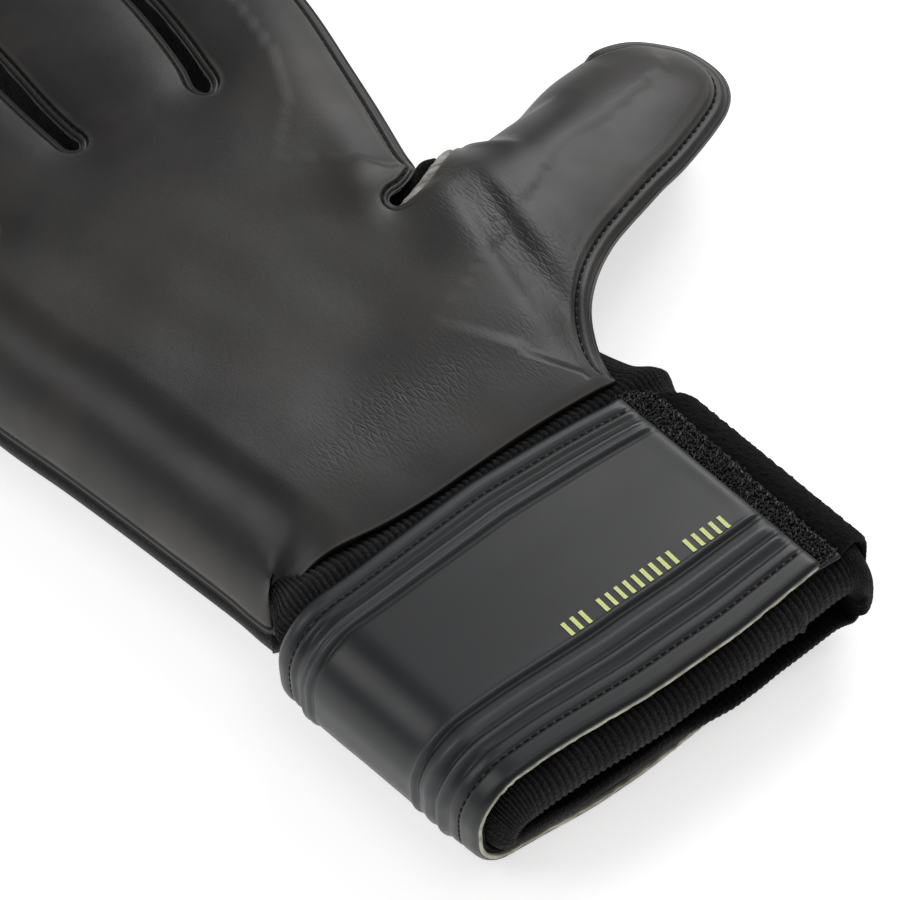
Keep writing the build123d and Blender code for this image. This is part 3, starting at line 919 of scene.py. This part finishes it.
# Where the back's edge is drawn far in, its flat middle is drawn in with it.
gap = np.linalg.norm(inner - EDGE, axis=1)
spare = np.maximum(BACK_IN + 2.5 - gap, 0)
off, j = nearest(KD_ALL, net)
i = ALL_ID[j]
back_xy = net + INWARD[i] * (spare[i] * np.clip(1 - (off - gap[i]) / DRAW_RUN, 0, 1))[:, None]
loop_at = np.array([new_of_old[i] for i in range(COUNT)])
back_points, back_rows = [], []
for k, (f, z, tuck) in enumerate(BACK_ROWS):
    inwards = np.maximum(BACK_IN - TUCKED, 0) + np.minimum(BACK_IN, TUCKED) * tuck if k else BACK_IN + 1.0
    xy = (EDGE + INWARD * inwards[:, None]) * (1 - f) + back_xy[loop_at] * f
    back_points.append(np.column_stack([xy, np.full(COUNT, z)]))
    back_rows.append(np.arange(COUNT) + k * COUNT)
channel = pressed(net[:, 0], net[:, 1])
back_net = np.column_stack([back_xy, 0.1 + 1.5 * channel])
back_rows.append(loop_at + COUNT * len(BACK_ROWS))
back = np.concatenate(back_points + [back_net])
back_faces = band_faces(back_rows, flip=True) + [tuple(f[::-1] + COUNT * len(BACK_ROWS)) for f in net_faces]
# Painted shade mask for the back: 1 along the groove row and in the pressed channels.
back_channel_shade = np.concatenate([np.full(COUNT, float(k == GROOVE_ROW)) for k in range(len(BACK_ROWS))]
                             + [channel])
back_up = vertex_normals(back, back_faces)
backs = cut_by_region(lambda k: "backhand_foam" if k == "hand" else k + "_back_foam", back, back_faces, BACK,
                      "backhand_foam", node_of("back", "backhand_panel"), {"groove": back_channel_shade}, back_up)

# Lining: a soft dark skin inside the palm, seen through the opening.
offset = COUNT * (ROWS - 1)
lining = palm_all[offset:offset + len(net)] - np.array([0, 0, 4.3])
lining_mid = lining[net_faces].mean(1)
keep = (region(lining_mid[:, 0], lining_mid[:, 1]) == "hand") & (lining_mid[:, 1] > 2)
lv, lf, *_ = part_of(lining, [tuple(f[::-1]) for f in net_faces], keep)
lining_piece = piece("palm_lining_skin", lv, lf, LINING, "hand", "lining_fabric", ["palm_lining"])

# ---- cuff --------------------------------------------------------------------------------------------------
low, high = (np.array(c) * 1000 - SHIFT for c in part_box("strap_wrap"))
TALL = high[2]                                    # outer height of the closed strap
CORNER, THUMB_SIDE = 13.0, 54.0
# How far the cuff is drawn in on the little finger's side, over y.
TUCK = [(-75, 3.8), (-66, 3.3), (-57, 2.8), (-42, 2.0), (-22, 1.4), (-12, 1.9), (-7.4, 2.3), (-3, 3.3),
        (12, 4.4)]
LEFT, RIGHT = low[0] + CORNER, THUMB_SIDE - CORNER
MID_X = (LEFT + RIGHT) / 2


def stadium():
    """Outer line of the closed strap, from the top's middle round by the little finger side, with normals."""
    side, arc = TALL - 2 * CORNER, np.linspace(0, math.pi / 2, 40)
    pts = [np.column_stack([np.linspace(MID_X, LEFT, 80), np.full(80, TALL)])]
    pts.append(np.column_stack([LEFT - CORNER * np.sin(arc), TALL - CORNER + CORNER * np.cos(arc)])[1:])
    pts.append(np.column_stack([LEFT - CORNER * np.cos(arc), CORNER - CORNER * np.sin(arc)]))
    pts.append(np.column_stack([np.linspace(LEFT, RIGHT, 160), np.zeros(160)])[1:])
    pts.append(np.column_stack([RIGHT + CORNER * np.sin(arc), CORNER - CORNER * np.cos(arc)])[1:])
    pts.append(np.column_stack([RIGHT + CORNER * np.cos(arc), TALL - CORNER + CORNER * np.sin(arc)]))
    pts.append(np.column_stack([np.linspace(RIGHT, MID_X, 80), np.full(80, TALL)])[1:])
    p = np.concatenate(pts)
    run = np.concatenate([[0], np.cumsum(np.linalg.norm(np.diff(p, axis=0), axis=1))])
    s = np.arange(0, run[-1], 0.4)
    p = np.column_stack([np.interp(s, run, p[:, 0]), np.interp(s, run, p[:, 1])])
    p[:, 1] += 0.5 * np.clip(1 - ((p[:, 0] - MID_X) / 48) ** 2, 0, 1) * (p[:, 1] > TALL / 2)
    p = smooth_loop(p, 20)
    t = unit(np.roll(p, -1, 0) - np.roll(p, 1, 0))
    n = smooth_loop(np.column_stack([t[:, 1], -t[:, 0]]), 10)
    return s, p, unit(n) * np.sign((unit(n) * (p - p.mean(0))).sum()), run[-1]


RING_S, RING_P, RING_N, ROUND = stadium()


def ring_place(s):
    """Place on the closed strap's outer line, s round it from the top's middle."""
    return np.column_stack([np.interp(np.mod(s, ROUND), RING_S, RING_P[:, k], period=ROUND) for k in (0, 1)])


def around(s, y, h):
    """Place on the cuff: s round it from the top's middle, y along it, h out from the closed strap's face."""
    s = np.mod(s, ROUND)
    n = np.column_stack([np.interp(s, RING_S, RING_N[:, k], period=ROUND) for k in (0, 1)])
    p = ring_place(s) + n * np.asarray(h)[:, None]
    taper = np.interp(y, *np.array(TUCK, float).T) * ease(-38, -57, p[:, 0])
    taper = taper * (0.5 + 0.5 * ease(26, 6, p[:, 1]))
    return np.column_stack([p[:, 0] + taper, y, p[:, 1]])


def s_of_x(x, top=True):
    """Length round the cuff to a place x on its top or underside."""
    half = (RING_P[:, 1] > TALL / 2) if top else (RING_P[:, 1] < TALL / 2)
    i = np.flatnonzero(half & (RING_P[:, 0] > LEFT - 9) & (RING_P[:, 0] < RIGHT + 2))
    k = i[np.argmin(abs(RING_P[i, 0] - x))]
    return RING_S[k] - (ROUND if RING_S[k] > ROUND - 80 else 0)


def slab(S, Y, outer, inner, place, rim=0.25):
    """A closed sheet over a grid of S, Y, from height outer to height inner, with a rounded rim."""
    rows, cols = S.shape
    o = place(S.ravel(), Y.ravel(), outer.ravel())
    i = place(S.ravel(), Y.ravel(), inner.ravel())
    ids = np.arange(rows * cols).reshape(rows, cols)
    loop = np.concatenate([ids[0, :-1], ids[:-1, -1], ids[-1, :0:-1], ids[:0:-1, 0]])
    middle = (o[loop] + i[loop]) / 2
    ring = np.roll(middle, -1, 0) - np.roll(middle, 1, 0)
    away = unit(np.cross(ring, o[loop] - i[loop]))
    inner_point = ids[np.clip(loop // cols, 1, rows - 2), np.clip(loop % cols, 1, cols - 2)]
    away *= np.sign(((o[loop] - o[inner_point]) * away).sum(1))[:, None]
    rims = [o[loop] * (1 - t) + i[loop] * t + away * rim * 4 * t * (1 - t) for t in (0.2, 0.5, 0.8)]
    v = np.concatenate([o, i] + rims)
    faces = grid_faces(rows, cols) + grid_faces(rows, cols, flip=True, start=rows * cols)
    rim_ids = [2 * rows * cols + np.arange(len(loop)) + k * len(loop) for k in range(3)]
    chain = [loop] + rim_ids + [loop + rows * cols]
    for a, b in zip(chain, chain[1:]):
        for k in range(len(loop)):
            kk = (k + 1) % len(loop)
            faces.append((a[kk], a[k], b[k], b[kk]))
    n = vertex_normals(v, faces)
    if ((o - i) * n[:rows * cols]).sum() < 0:
        faces = [f[::-1] for f in faces]
    return v, faces, np.concatenate([np.arange(rows * cols)] * 2 + [loop] * 3)


# Strap face across its width: stitched edges, two raised ribs at each side, y and height in millimetres.
RIBS = [(-10.1, -0.35), (-10.9, 0.2), (-12.2, 0.3), (-13.2, 0.05), (-13.8, -0.4), (-14.4, 0.05),
        (-15.0, 0.15), (-16.2, -0.3), (-17.6, 0.0), (-18.5, 0.75), (-19.3, 0.3), (-20.1, 0.6),
        (-21.3, -0.25), (-22.5, 0.0),
        (-28, 0), (-36, -0.1), (-44, -0.1), (-50.5, 0.0), (-51.8, 0.45), (-52.9, -0.5), (-54.1, 0.1),
        (-56.0, 0.5), (-57.4, 0.1), (-58.3, -0.35), (-59.6, 0.75), (-61.0, 0.0), (-61.8, -0.3), (-62.8, 0.15),
        (-64.2, 0.1), (-65.0, -0.4), (-65.8, 0.05), (-68.4, 0.0), (-69.3, -0.15), (-69.8, -0.55)]
STITCH_ROWS = {"upper": -13.8, "lower": -65.0}
PLAIN_MIDDLE, PLAIN_HALF = -36, 12                # the strap's plain middle, between its ribs
strap_top, strap_low = RIBS[0][0], RIBS[-1][0]
S_END, S_FOLD, S_STOP = s_of_x(34.2), s_of_x(LEFT - 6.3), s_of_x(28.0, top=False)
# How far the strap's upper and lower edges lie off its straight course, by length along the strap.
TOP_SHIFT = soft_track([(-162, 0), (-49, -0.1), (-36, -0.3), (-22, 0.0), (-4, 0.4), (15, -1.2), (25, -2.4),
                        (36, -4.2)], 8)
LOW_SHIFT = soft_track([(-162, 0.6), (-139, 0.5), (-123, 0.2), (-109, 1.1), (-100, 2.6), (-90, 4.0),
                        (-75, 4.0), (-57, 2.4), (-34, 1.4), (-12, -1.4), (11, -2.3), (36, -1.2)], 14)


def along(s):
    """Length along the closed strap as a place on x: negative beyond the little finger side."""
    s = np.asarray(s, float)
    return MID_X - np.where(s > ROUND - 70, s - ROUND, s)


def strap_y(s, v):
    """Where the strap's own line v lies along the cuff: towards its end the strap is cut and pulled askew."""
    x = along(s)
    return v + TOP_SHIFT(x) + (LOW_SHIFT(x) - TOP_SHIFT(x)) * (v - strap_top) / (strap_low - strap_top)


def strap_place(s, v, h):
    """Place on the strap: s round the cuff, v its own line across, h out from its face."""
    return around(s, strap_y(s, v), h)


def strap_grid(s0, s1, v0=strap_top, v1=strap_low, step=0.9, fine=True):
    """Grid of the strap from s0 to s1, close set over its ribs and with a column at the fold."""
    vs = [v0]
    while vs[-1] > v1:
        busy = vs[-1] > -23.5 or vs[-1] < -50
        vs.append(vs[-1] - (0.4 if busy and fine else 1.6))
    vs[-1] = v1
    ss = np.linspace(s0, s1, int(abs(s1 - s0) / step) + 2)
    ss = np.sort(np.append(ss, [S_FOLD] if s0 < S_FOLD < s1 else []))
    return np.meshgrid(ss, np.array(vs))


def strap_height(S, V):
    """Height of the strap's outer face, which thins out towards its end."""
    h = wave_through(RIBS[::-1], V.ravel()).reshape(V.shape)
    fade = ease(S_END, S_END + 4, S)
    h = np.where(h > 0, h * fade, h * (0.4 + 0.6 * fade))
    swell = 0.05 * bumps(np.stack([S.ravel(), V.ravel()], 1), 60, 31, 1).reshape(S.shape)
    h = h + swell * ease(0, 6, S - S_END)
    return h - 0.45 * ease(1.2, 0.0, S - S_END)


# The strap is made in one length and cut where its pressed-down part begins, so both parts match at the cut.
FLAP_SPEC = ("hand", "strap_flap", (LEFT - 6, 0, 0), (LEFT + 8, 0, 0))
STRAP_PARTS = [("flap", FLAP_SPEC, "strap_flap", (0.0835, 0.0600)),
               ("wrap", "hand", "strap_wrap", (0.1190, 0.0592))]
LINING_SHORT = 0.026                              # the flap's lining stops short of the hook tape


def strap_layer(label, look, slot, S, V, top_h, low_h, values=None, rim=0.25):
    """One layer of the strap as two pieces, each closed by a cap at the cut; values are per grid point."""
    v, f, at = slab(S, V, top_h, low_h, strap_place, rim)
    normals = vertex_normals(v, f)
    outer = np.arange(len(v)) < S.size
    values = {k: np.where(outer, a.ravel()[at], 0) for k, a in (values or {}).items()}
    reach = S.ravel()[at]
    near = np.array([reach[list(q)].mean() for q in f]) < S_FOLD
    rows, cols = S.shape
    c = int(np.argmin(abs(S[0] - S_FOLD)))
    column = np.arange(rows) * cols + c
    rims = 2 * rows * cols + np.arange(3) * 2 * (rows + cols - 2)
    cap = (*column, *(rims + 2 * cols + rows - 3 - c), *(column[::-1] + rows * cols), *(rims[::-1] + c))
    for (part, spec, node, flat), keep in zip(STRAP_PARTS, (near, ~near)):
        pv, pf, pvals, pn = part_of(v, f + [cap], np.append(keep, True), values, normals)
        if label == "lining" and part == "flap":
            flat = (flat[0] - LINING_SHORT, flat[1])
        nodes = {"face": [node], "foam_core": [node + "_backing"]}.get(label, [])
        obj = piece(f"strap_{part}_{label}", pv, pf, look, spec, slot, nodes, pvals, pn)


S, V = strap_grid(S_END, S_STOP)
H = strap_height(S, V)
# Painted light on the strap's face: the rib tops get a painted highlight, and the valleys between the ribs
# get painted shade.
strap_layer("face", STRAP, "strap_latex", S, V, H, np.minimum(H - 0.8, -1.0),
            {"ridge": np.clip(H / 0.7, 0, 1),
             "groove": np.clip(-H / 0.45, 0, 1) * (abs(V - PLAIN_MIDDLE) > PLAIN_HALF)})
S, V = strap_grid(S_END + 0.5, S_STOP, strap_top - 0.3, strap_low - 0.25, 1.4, fine=False)
V[-1] += 0.12 * bumps(np.stack([S.ravel(), V.ravel()], 1), 2.4, 33, 2).reshape(S.shape)[-1]
strap_layer("foam_core", FOAM, "strap_foam", S, V, np.full(S.shape, -1.05), np.full(S.shape, -2.1), rim=0.12)
S, V = strap_grid(S_END + LINING_SHORT * 1000 + 1, S_STOP, strap_top - 0.3, strap_low + 0.4, 1.4, fine=False)
strap_layer("lining", LINING, "lining_fabric", S, V, np.full(S.shape, -2.15), np.full(S.shape, -3.3),
            rim=0.12)
for part, spec, s0, s1 in (("flap", FLAP_SPEC, S_END + 1.5, S_FOLD), ("wrap", "hand", S_FOLD, S_STOP)):
    for side, line in STITCH_ROWS.items():
        ss, vs = np.linspace(s0, s1, 400), np.full(400, line)
        p = strap_place(ss, vs, strap_height(ss[None], vs[None])[0])
        up_at = unit(around(ss, p[:, 1], np.full(400, 1.0)) - around(ss, p[:, 1], np.zeros(400)))
        sv, sf = stitched(p, up_at, 2.0, 1.5, 0.22, 0.1)
        piece(f"strap_{part}_stitches_{side}", sv, sf, THREAD, spec, "strap_latex")

# Plain printed bars in three groups, where the strap carries its print.
BAR_FROM, BAR_TO, BAR_HIGH, BAR_WIDE, BARS = (-15.2, -51.7), (28.3, -53.3), 3.7, 0.95, 19
BAR_GAPS, BAR_ROWS, BAR_COLS, BAR_SLANT, BAR_LIFT = (3, 13), 9, 3, 0.25, 0.16
bars_v, bars_f = [], []
for k in range(BARS):
    if k in BAR_GAPS:
        continue
    t = (k + 0.5) / BARS
    cx, cy = (BAR_FROM[i] * (1 - t) + BAR_TO[i] * t for i in (0, 1))
    bars_f += grid_faces(BAR_ROWS, BAR_COLS, start=len(bars_v))
    for u in np.linspace(0, 1, BAR_ROWS):
        for w in np.linspace(-0.5, 0.5, BAR_COLS):
            s, y = s_of_x(0) - cx - w * BAR_WIDE - BAR_SLANT * (u - 0.5), cy + u * BAR_HIGH
            line = y
            for _ in range(6):                    # the strap's own line that comes to lie at y
                line += y - strap_y(s, line)
            h = strap_height(np.array([[s]]), np.array([[line]]))[0] + BAR_LIFT
            bars_v.append(strap_place(np.array([s]), np.array([line]), h)[0])
piece("strap_printed_bars", np.array(bars_v), bars_f, PRINT, FLAP_SPEC, "strap_latex")

# Hook tape under the strap's end, with its hooks.
S_HOOK, S_HOOK_IN, HOOK_COLS, HOOK_ROWS, HOOK_SLANT = s_of_x(41.3), s_of_x(8.05), 46, 80, 2.0
HOOK_STEP, HOOK_LINES, HOOK_RING = 0.62, 0.0115, 4


def hook_y(s, v):
    """Place along the cuff of share v of the tape's width."""
    x = MID_X - np.asarray(s)
    a = np.interp(x, [8, 34, 36.5, 41.4], [-15.0, -12.6, -12.7, -16.6])
    b = np.interp(x, [8, 34.5, 41], [-70.2, -71.4, -72.2])
    return a + (b - a) * v


S, V = np.meshgrid(np.linspace(S_HOOK, S_HOOK_IN, HOOK_COLS), np.linspace(0, 1, HOOK_ROWS))
jag = 0.5 * bumps(np.stack([V.ravel() * 57, V.ravel() * 0], 1), 3.0, 41, 3).reshape(V.shape)
S = S + np.where(np.arange(HOOK_COLS)[None] == 0, jag, 0) + HOOK_SLANT * V * ease(12, 0, S - S_HOOK)
hv, hf, _ = slab(S, V, np.full(S.shape, -1.75), np.full(S.shape, -2.45),
                 lambda s, v, h: around(s, hook_y(s, v), h), 0.2)
piece("hook_tape_strip", hv, hf, HOOKS, FLAP_SPEC, "hook_tape", ["hook_tape"])
hook_v, hook_f = [], []
for a in np.arange(S_HOOK + 0.4, S_END + 1.5, HOOK_STEP):
    for b in np.arange(0.006, 0.994, HOOK_LINES):
        s = a + HOOK_SLANT * b * float(ease(12, 0, a - S_HOOK)) + rng.normal(0, 0.12)
        v = b + rng.normal(0, 0.0022)
        foot = around(np.array([s]), hook_y(np.array([s]), v), np.array([-1.8]))[0]
        turn, tall, size = rng.uniform(0, 6.28), rng.uniform(0.5, 0.95), rng.uniform(0.16, 0.26)
        lean = np.array([math.cos(turn), math.sin(turn), 0]) * 0.35
        base = len(hook_v)
        for h, r in [(0, 1), (0.6, 0.9), (1.0, 1.25)]:
            c = foot + np.array([0, 0, tall * h]) + lean * h * h
            for q in range(HOOK_RING):
                way = np.array([math.cos(q * 1.57 + turn), math.sin(q * 1.57 + turn), 0])
                hook_v.append(c + size * r * way)
        hook_f += grid_faces(3, HOOK_RING, closed=True, start=base)
        hook_f.append(tuple(base + 2 * HOOK_RING + q for q in range(HOOK_RING)))
piece("hook_tape_hooks", np.array(hook_v), hook_f, HOOKS, FLAP_SPEC, "hook_tape")

# Loop band: thick velour round the thumb side.
S_LOOP, S_LOOP_END = s_of_x(10.0), s_of_x(28.3, top=False) - ROUND
S, V = np.meshgrid(np.linspace(S_LOOP_END, S_LOOP, 150), np.linspace(0, 1, 84))


def loop_y(s, v):
    """Place along the cuff of share v of the band's width."""
    x = around(s, np.zeros(len(s)), np.full(len(s), -3.0))[:, 0]
    a = np.interp(x, [10, 40, 46, 53], [-13.9, -15.2, -18.0, -20.0])
    b = np.interp(x, [10, 40, 46, 53], [-71.0, -71.0, -69.5, -68.6])
    return a + (b - a) * v


fuzz = 0.22 * bumps(np.stack([S.ravel(), V.ravel() * 57], 1), 2.2, 51, 3).reshape(S.shape)
fuzz = np.where((S > S_HOOK + 1), np.minimum(fuzz, 0), fuzz + 0.25)
edge_round = np.minimum(np.minimum(V, 1 - V) * 57, 1.2) / 1.2
lv, lf, _ = slab(S, V, -2.75 + fuzz - 0.5 * (1 - edge_round) ** 2, np.full(S.shape, -4.0),
                 lambda s, v, h: around(s, loop_y(s, v), h), 0.35)
obj = piece("loop_band_velour", lv, lf, VELOUR, "hand", "loop_velour", ["loop_band"])

# Ribbed knit sleeve, and the hem that rolls in at the opening.
RIB, FOLD_S = 1.6, s_of_x(26.0)
# The sleeve's bulge at the wrist: x, y of its crest, width.
BULGE_LINE = np.array([(-57, -5.6, 4.2), (-36, -6.3, 3.9), (-24, -7.6, 2.9), (-12, -8.3, 2.0),
                       (10, -8.8, 2.2), (34, -10.9, 3.2), (54, -11.0, 3.4)])


def knit(rows, name, node, ribs=0.32):
    """A tube of ribbed knit; a row is y, height out, width share, droop of the top, height of the bulge."""
    cols = int(ROUND / (0.36))
    s = np.linspace(0, ROUND, cols, endpoint=False)
    at = ring_place(s)
    crest, reach = (np.interp(at[:, 0], BULGE_LINE[:, 0], BULGE_LINE[:, k]) for k in (1, 2))
    phase = 2 * math.pi * round(ROUND / RIB) * s / ROUND
    fold = s - FOLD_S - ROUND
    ruffle = np.exp(-(fold / 0.9) ** 2) + 0.5 * np.exp(-((fold - 3.0) / 1.3) ** 2)
    bottom = ease(16, 5, at[:, 1])
    out, knit_shade = [], []
    for k, (y, h, width, droop, bulge) in enumerate(rows):
        ripple = ribs * np.cos(phase) * (1 - 0.6 * bottom)
        slack = 0.25 * bumps(np.column_stack([at, np.full(cols, y)]), 16, 61, 2)
        swell = bulge * np.exp(-((y - crest) / reach) ** 2) * ease(8, 26, at[:, 1])
        drawn = ruffle * min(droop / 2, 1)
        sag = ease(-62, -74, y) * ease(38, 52, at[:, 0])
        ys = y + LOW_SHIFT(along(s)) * 0.8 * ease(-56, -66, y)
        ys = ys + max(-70.2 - y, 0) * 0.75 * bottom * ease(12, -8, at[:, 0])
        p = around(s, ys - 0.9 * drawn - 2.0 * sag, h + ripple + slack + swell + 0.8 * drawn)
        p[:, 2] -= droop * ease(6, 26, p[:, 2]) * (1 + 0.25 * ruffle)
        p[:, 0] = MID_X + (p[:, 0] - MID_X) * np.where(p[:, 0] > MID_X, 1 - (1 - width) * 1.5, width)
        p[:, 0] -= 3.0 * sag
        out.append(p)
        # Painted shade: the knit is darkened in the valleys between its ribs and, on the hem's inner rows at
        # the bottom of the opening, inside the mouth where shade falls.
        deep = ease(len(rows) * 0.35, len(rows) * 0.5, k) if droop or y < -60 else 0
        knit_shade.append(np.maximum(0.8 * (0.5 - 0.5 * np.cos(phase)), 1.4 * deep * bottom))
    v = np.concatenate(out)
    faces = grid_faces(len(rows), cols, closed=True)
    n = vertex_normals(v, faces)
    if (n[:cols] * (v[:cols] - v[:cols].mean(0))).sum() < 0:
        faces = [f[::-1] for f in faces]
    obj = piece(name, v, faces, KNIT, "hand", "rib_knit", [node], {"groove": np.concatenate(knit_shade)})


def smooth_open(a, passes):
    """Rows of points evened out, with both ends kept."""
    for _ in range(passes):
        a[1:-1] = (a[:-2] + 2 * a[1:-1] + a[2:]) / 4
    return a


def spread(stations, count, passes):
    """count points through stations at even shares, smoothed with both ends kept."""
    st = np.array(stations, float)
    k = np.linspace(0, len(st) - 1, count)
    line = np.column_stack([np.interp(k, np.arange(len(st)), st[:, i]) for i in range(st.shape[1])])
    return smooth_open(line, passes)


SLEEVE = [(-63.5, -4.25, 1, 0, 0), (-55, -4.25, 1, 0, 0), (-40, -4.25, 1, 0, 0), (-25, -4.25, 1, 0, 0),
          (-17, -4.3, 1, 0, 0), (-14, -4.2, 0.995, 0, 2.6), (-11.5, -4.2, 0.99, 0, 2.6),
          (-9.5, -4.2, 0.985, 0, 2.6), (-7.5, -4.2, 0.98, 0, 2.6), (-5.5, -4.3, 0.975, 0, 2.6),
          (-3.5, -4.5, 0.97, 0, 2.4), (-1, -4.9, 0.965, 0, 2), (2, -5.4, 0.96, 0, 1), (6, -5.8, 0.95, 0, 0),
          (10, -6.0, 0.95, 0, 0), (9, -6.8, 0.945, 0, 0), (0, -6.8, 0.95, 0, 0), (-12, -6.6, 0.98, 0, 0),
          (-30, -6.2, 0.99, 0, 0), (-58, -6.2, 0.99, 0, 0)]
HEM = [(-60, -4.35, 1, 0, 0), (-66, -4.4, 1, 0, 0), (-69.2, -4.5, 1, 0.1, 0), (-71.4, -4.8, 1, 0.5, 0),
       (-73.2, -5.6, 1, 1.5, 0), (-74.0, -6.9, 1, 2.8, 0), (-73.8, -8.2, 1, 3.6, 0), (-72.6, -9.2, 1, 3.9, 0),
       (-70.5, -9.6, 1, 3.6, 0), (-67, -9.4, 1, 2.6, 0), (-62, -8.6, 1, 1.2, 0), (-54, -7.4, 1, 0.3, 0),
       (-46, -6.9, 1, 0, 0)]
knit(spread(SLEEVE, (len(SLEEVE) - 1) * 3 + 1, 3), "cuff_sleeve_knit", "cuff_sleeve", 0.4)
knit(spread(HEM, (len(HEM) - 1) * 4 + 1, 4), "cuff_hem_roll", "cuff_hem", 0.5)

# ---- thumb crotch: a domed stretch panel, and the grey binding rolled over the slit's edge -----------------
DOME_STEPS, DOME_SIDES, CORD_STEPS, CORD_SIDES = 40, 17, 90, 16


def at_shares(values, count):
    """count values read off at even shares of the given ones."""
    return np.interp(np.linspace(0, 1, count), np.linspace(0, 1, len(values)), values)


def dome(name, spine, width, tall, foot, look, slot, spec):
    """A soft hump along a spine of (x, y), with its half width and its top height along it, from foot up."""
    sp = spread(spine, DOME_STEPS, 10)
    t = unit(np.gradient(sp, axis=0))
    side = np.column_stack([-t[:, 1], t[:, 0]])
    a = np.linspace(0, math.pi, DOME_SIDES)
    v = []
    for p, across, w, z in zip(sp, side, at_shares(width, DOME_STEPS), at_shares(tall, DOME_STEPS)):
        v.append(np.column_stack([p + np.outer(np.cos(a), across) * w, foot + (z - foot) * np.sin(a) ** 0.8]))
    v = np.concatenate(v)
    faces = grid_faces(DOME_STEPS, DOME_SIDES)
    v = v + vertex_normals(v, faces) * (0.25 * bumps(v, 5, 71, 2))[:, None]
    if vertex_normals(v, faces)[:, 2].sum() < 0:
        faces = [f[::-1] for f in faces]
    stretched(piece(name, v, faces, look, spec, slot), v, faces, 0.016)


dome("thumb_crotch_panel", [(40.5, 58.4), (45, 60.8), (49.5, 62.6), (54, 63.8), (59, 64.6)],
     [0.7, 2.0, 2.9, 2.7, 1.2], [29.5, 30.0, 28.6, 25.5, 17], 6, GUSSET, "gusset_fabric", SPEC["thumb_root"])


def rolled(name, spine, radius, look, slot, spec, squash=1.0, ripple=0.12):
    """A soft rolled edge: a tube of changing radius along a line in space, closed at its ends."""
    sp, r = spread(spine, CORD_STEPS, 20), at_shares(radius, CORD_STEPS)
    t = unit(np.gradient(sp, axis=0))
    side = unit(np.cross(t, [0, 0, 1.0]))
    above = np.cross(side, t)
    a = np.linspace(0, 2 * math.pi, CORD_SIDES, endpoint=False)
    v = np.concatenate([sp[i] + r[i] * (np.outer(np.cos(a), side[i]) + squash * np.outer(np.sin(a), above[i]))
                        for i in range(CORD_STEPS)])
    faces = grid_faces(CORD_STEPS, CORD_SIDES, closed=True)
    start, end = (tuple(range(k, k + CORD_SIDES)) for k in (0, (CORD_STEPS - 1) * CORD_SIDES))
    n = vertex_normals(v, faces)
    if ((v - np.repeat(sp, CORD_SIDES, axis=0)) * n).sum() < 0:
        faces = [f[::-1] for f in faces]
        n = -n
    flipped = faces[0][0] > faces[0][1]
    faces += [start if flipped else start[::-1], end[::-1] if flipped else end]
    v = v + n * (ripple * bumps(v, 2.6, 81, 2))[:, None]
    piece(name, v, faces, look, spec, slot)


rolled("thumb_slit_binding", [(35.2, 54.3, 31.6), (36.6, 53.4, 32.3), (40, 54.0, 32.6), (45, 55.9, 32.1),
                              (50, 58.2, 30.8), (54.5, 60.4, 28.8), (57.5, 61.0, 27)],
       [0.6, 1.1, 1.3, 1.3, 1.3, 1.2, 0.6], TAPE, "latex", SPEC["thumb_root"], 0.8)

# ---- floor, light and camera -------------------------------------------------------------------------------
FLOOR_HALF = 6.0
floor_mesh = bpy.data.meshes.new("floor")
corners = [(x * FLOOR_HALF, y * FLOOR_HALF, 0) for x, y in ((-1, -1), (1, -1), (1, 1), (-1, 1))]
floor_mesh.from_pydata(corners, [], [(0, 1, 2, 3)])
floor = bpy.data.objects.new("floor", floor_mesh)
bpy.context.scene.collection.objects.link(floor)
floor.location.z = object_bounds()[0][2] - 0.0002
paper = bpy.data.materials.new("pale_floor")
paper.use_nodes = True
tint = paper.node_tree.nodes["Principled BSDF"]
tint.inputs["Base Color"].default_value = (0.8, 0.8, 0.8, 1)
tint.inputs["Roughness"].default_value = 0.9
tint.inputs["Specular IOR Level"].default_value = 0.1
tint.inputs["Emission Color"].default_value = (1, 1, 1, 1)
tint.inputs["Emission Strength"].default_value = 0.62
floor_mesh.materials.append(paper)

world = bpy.data.worlds.new("studio")
bpy.context.scene.world = world
world.use_nodes = True
world.node_tree.nodes["Background"].inputs[0].default_value = (1, 1, 1, 1)
world.node_tree.nodes["Background"].inputs[1].default_value = 0.27


def lamp(name, place, aim, size_x, size_y, power):
    """A softbox at a place, turned to its aim."""
    light = bpy.data.lights.new(name, "AREA")
    light.shape, light.size, light.size_y, light.energy = "RECTANGLE", size_x, size_y, power
    obj = bpy.data.objects.new(name, light)
    obj.location = place
    obj.rotation_euler = (Vector(aim) - Vector(place)).to_track_quat("-Z", "Y").to_euler()
    bpy.context.scene.collection.objects.link(obj)


centre = metres((0, 0, 30))
lamp("key_softbox", centre + np.array([0.86, 0.42, 0.74]), centre, 0.75, 0.6, 6.2)
lamp("left_softbox", centre + np.array([-0.8, 0.45, 0.9]), centre, 0.5, 0.8, 3.4)
lamp("top_softbox", centre + np.array([0.1, -0.3, 1.3]), centre, 0.7, 0.7, 2)

AZIMUTH, ELEVATION, DISTANCE = math.radians(-42.4), math.radians(51.2), 1.0
SENSOR, LENS_OVER_WIDTH = 36.0, 5.5
camera = bpy.data.objects.new("camera", bpy.data.cameras.new("camera"))
bpy.context.scene.collection.objects.link(camera)
level = math.cos(ELEVATION)
back_way = Vector((math.sin(AZIMUTH) * level, -math.cos(AZIMUTH) * level, math.sin(ELEVATION)))
camera.location = Vector(centre) + back_way * DISTANCE
camera.rotation_euler = back_way.to_track_quat("Z", "Y").to_euler()
camera.data.sensor_width, camera.data.lens = SENSOR, SENSOR * LENS_OVER_WIDTH
camera.data.clip_start, camera.data.clip_end = 0.01, 20
bpy.context.scene.camera = camera
bpy.context.scene.view_settings.view_transform = "Standard"
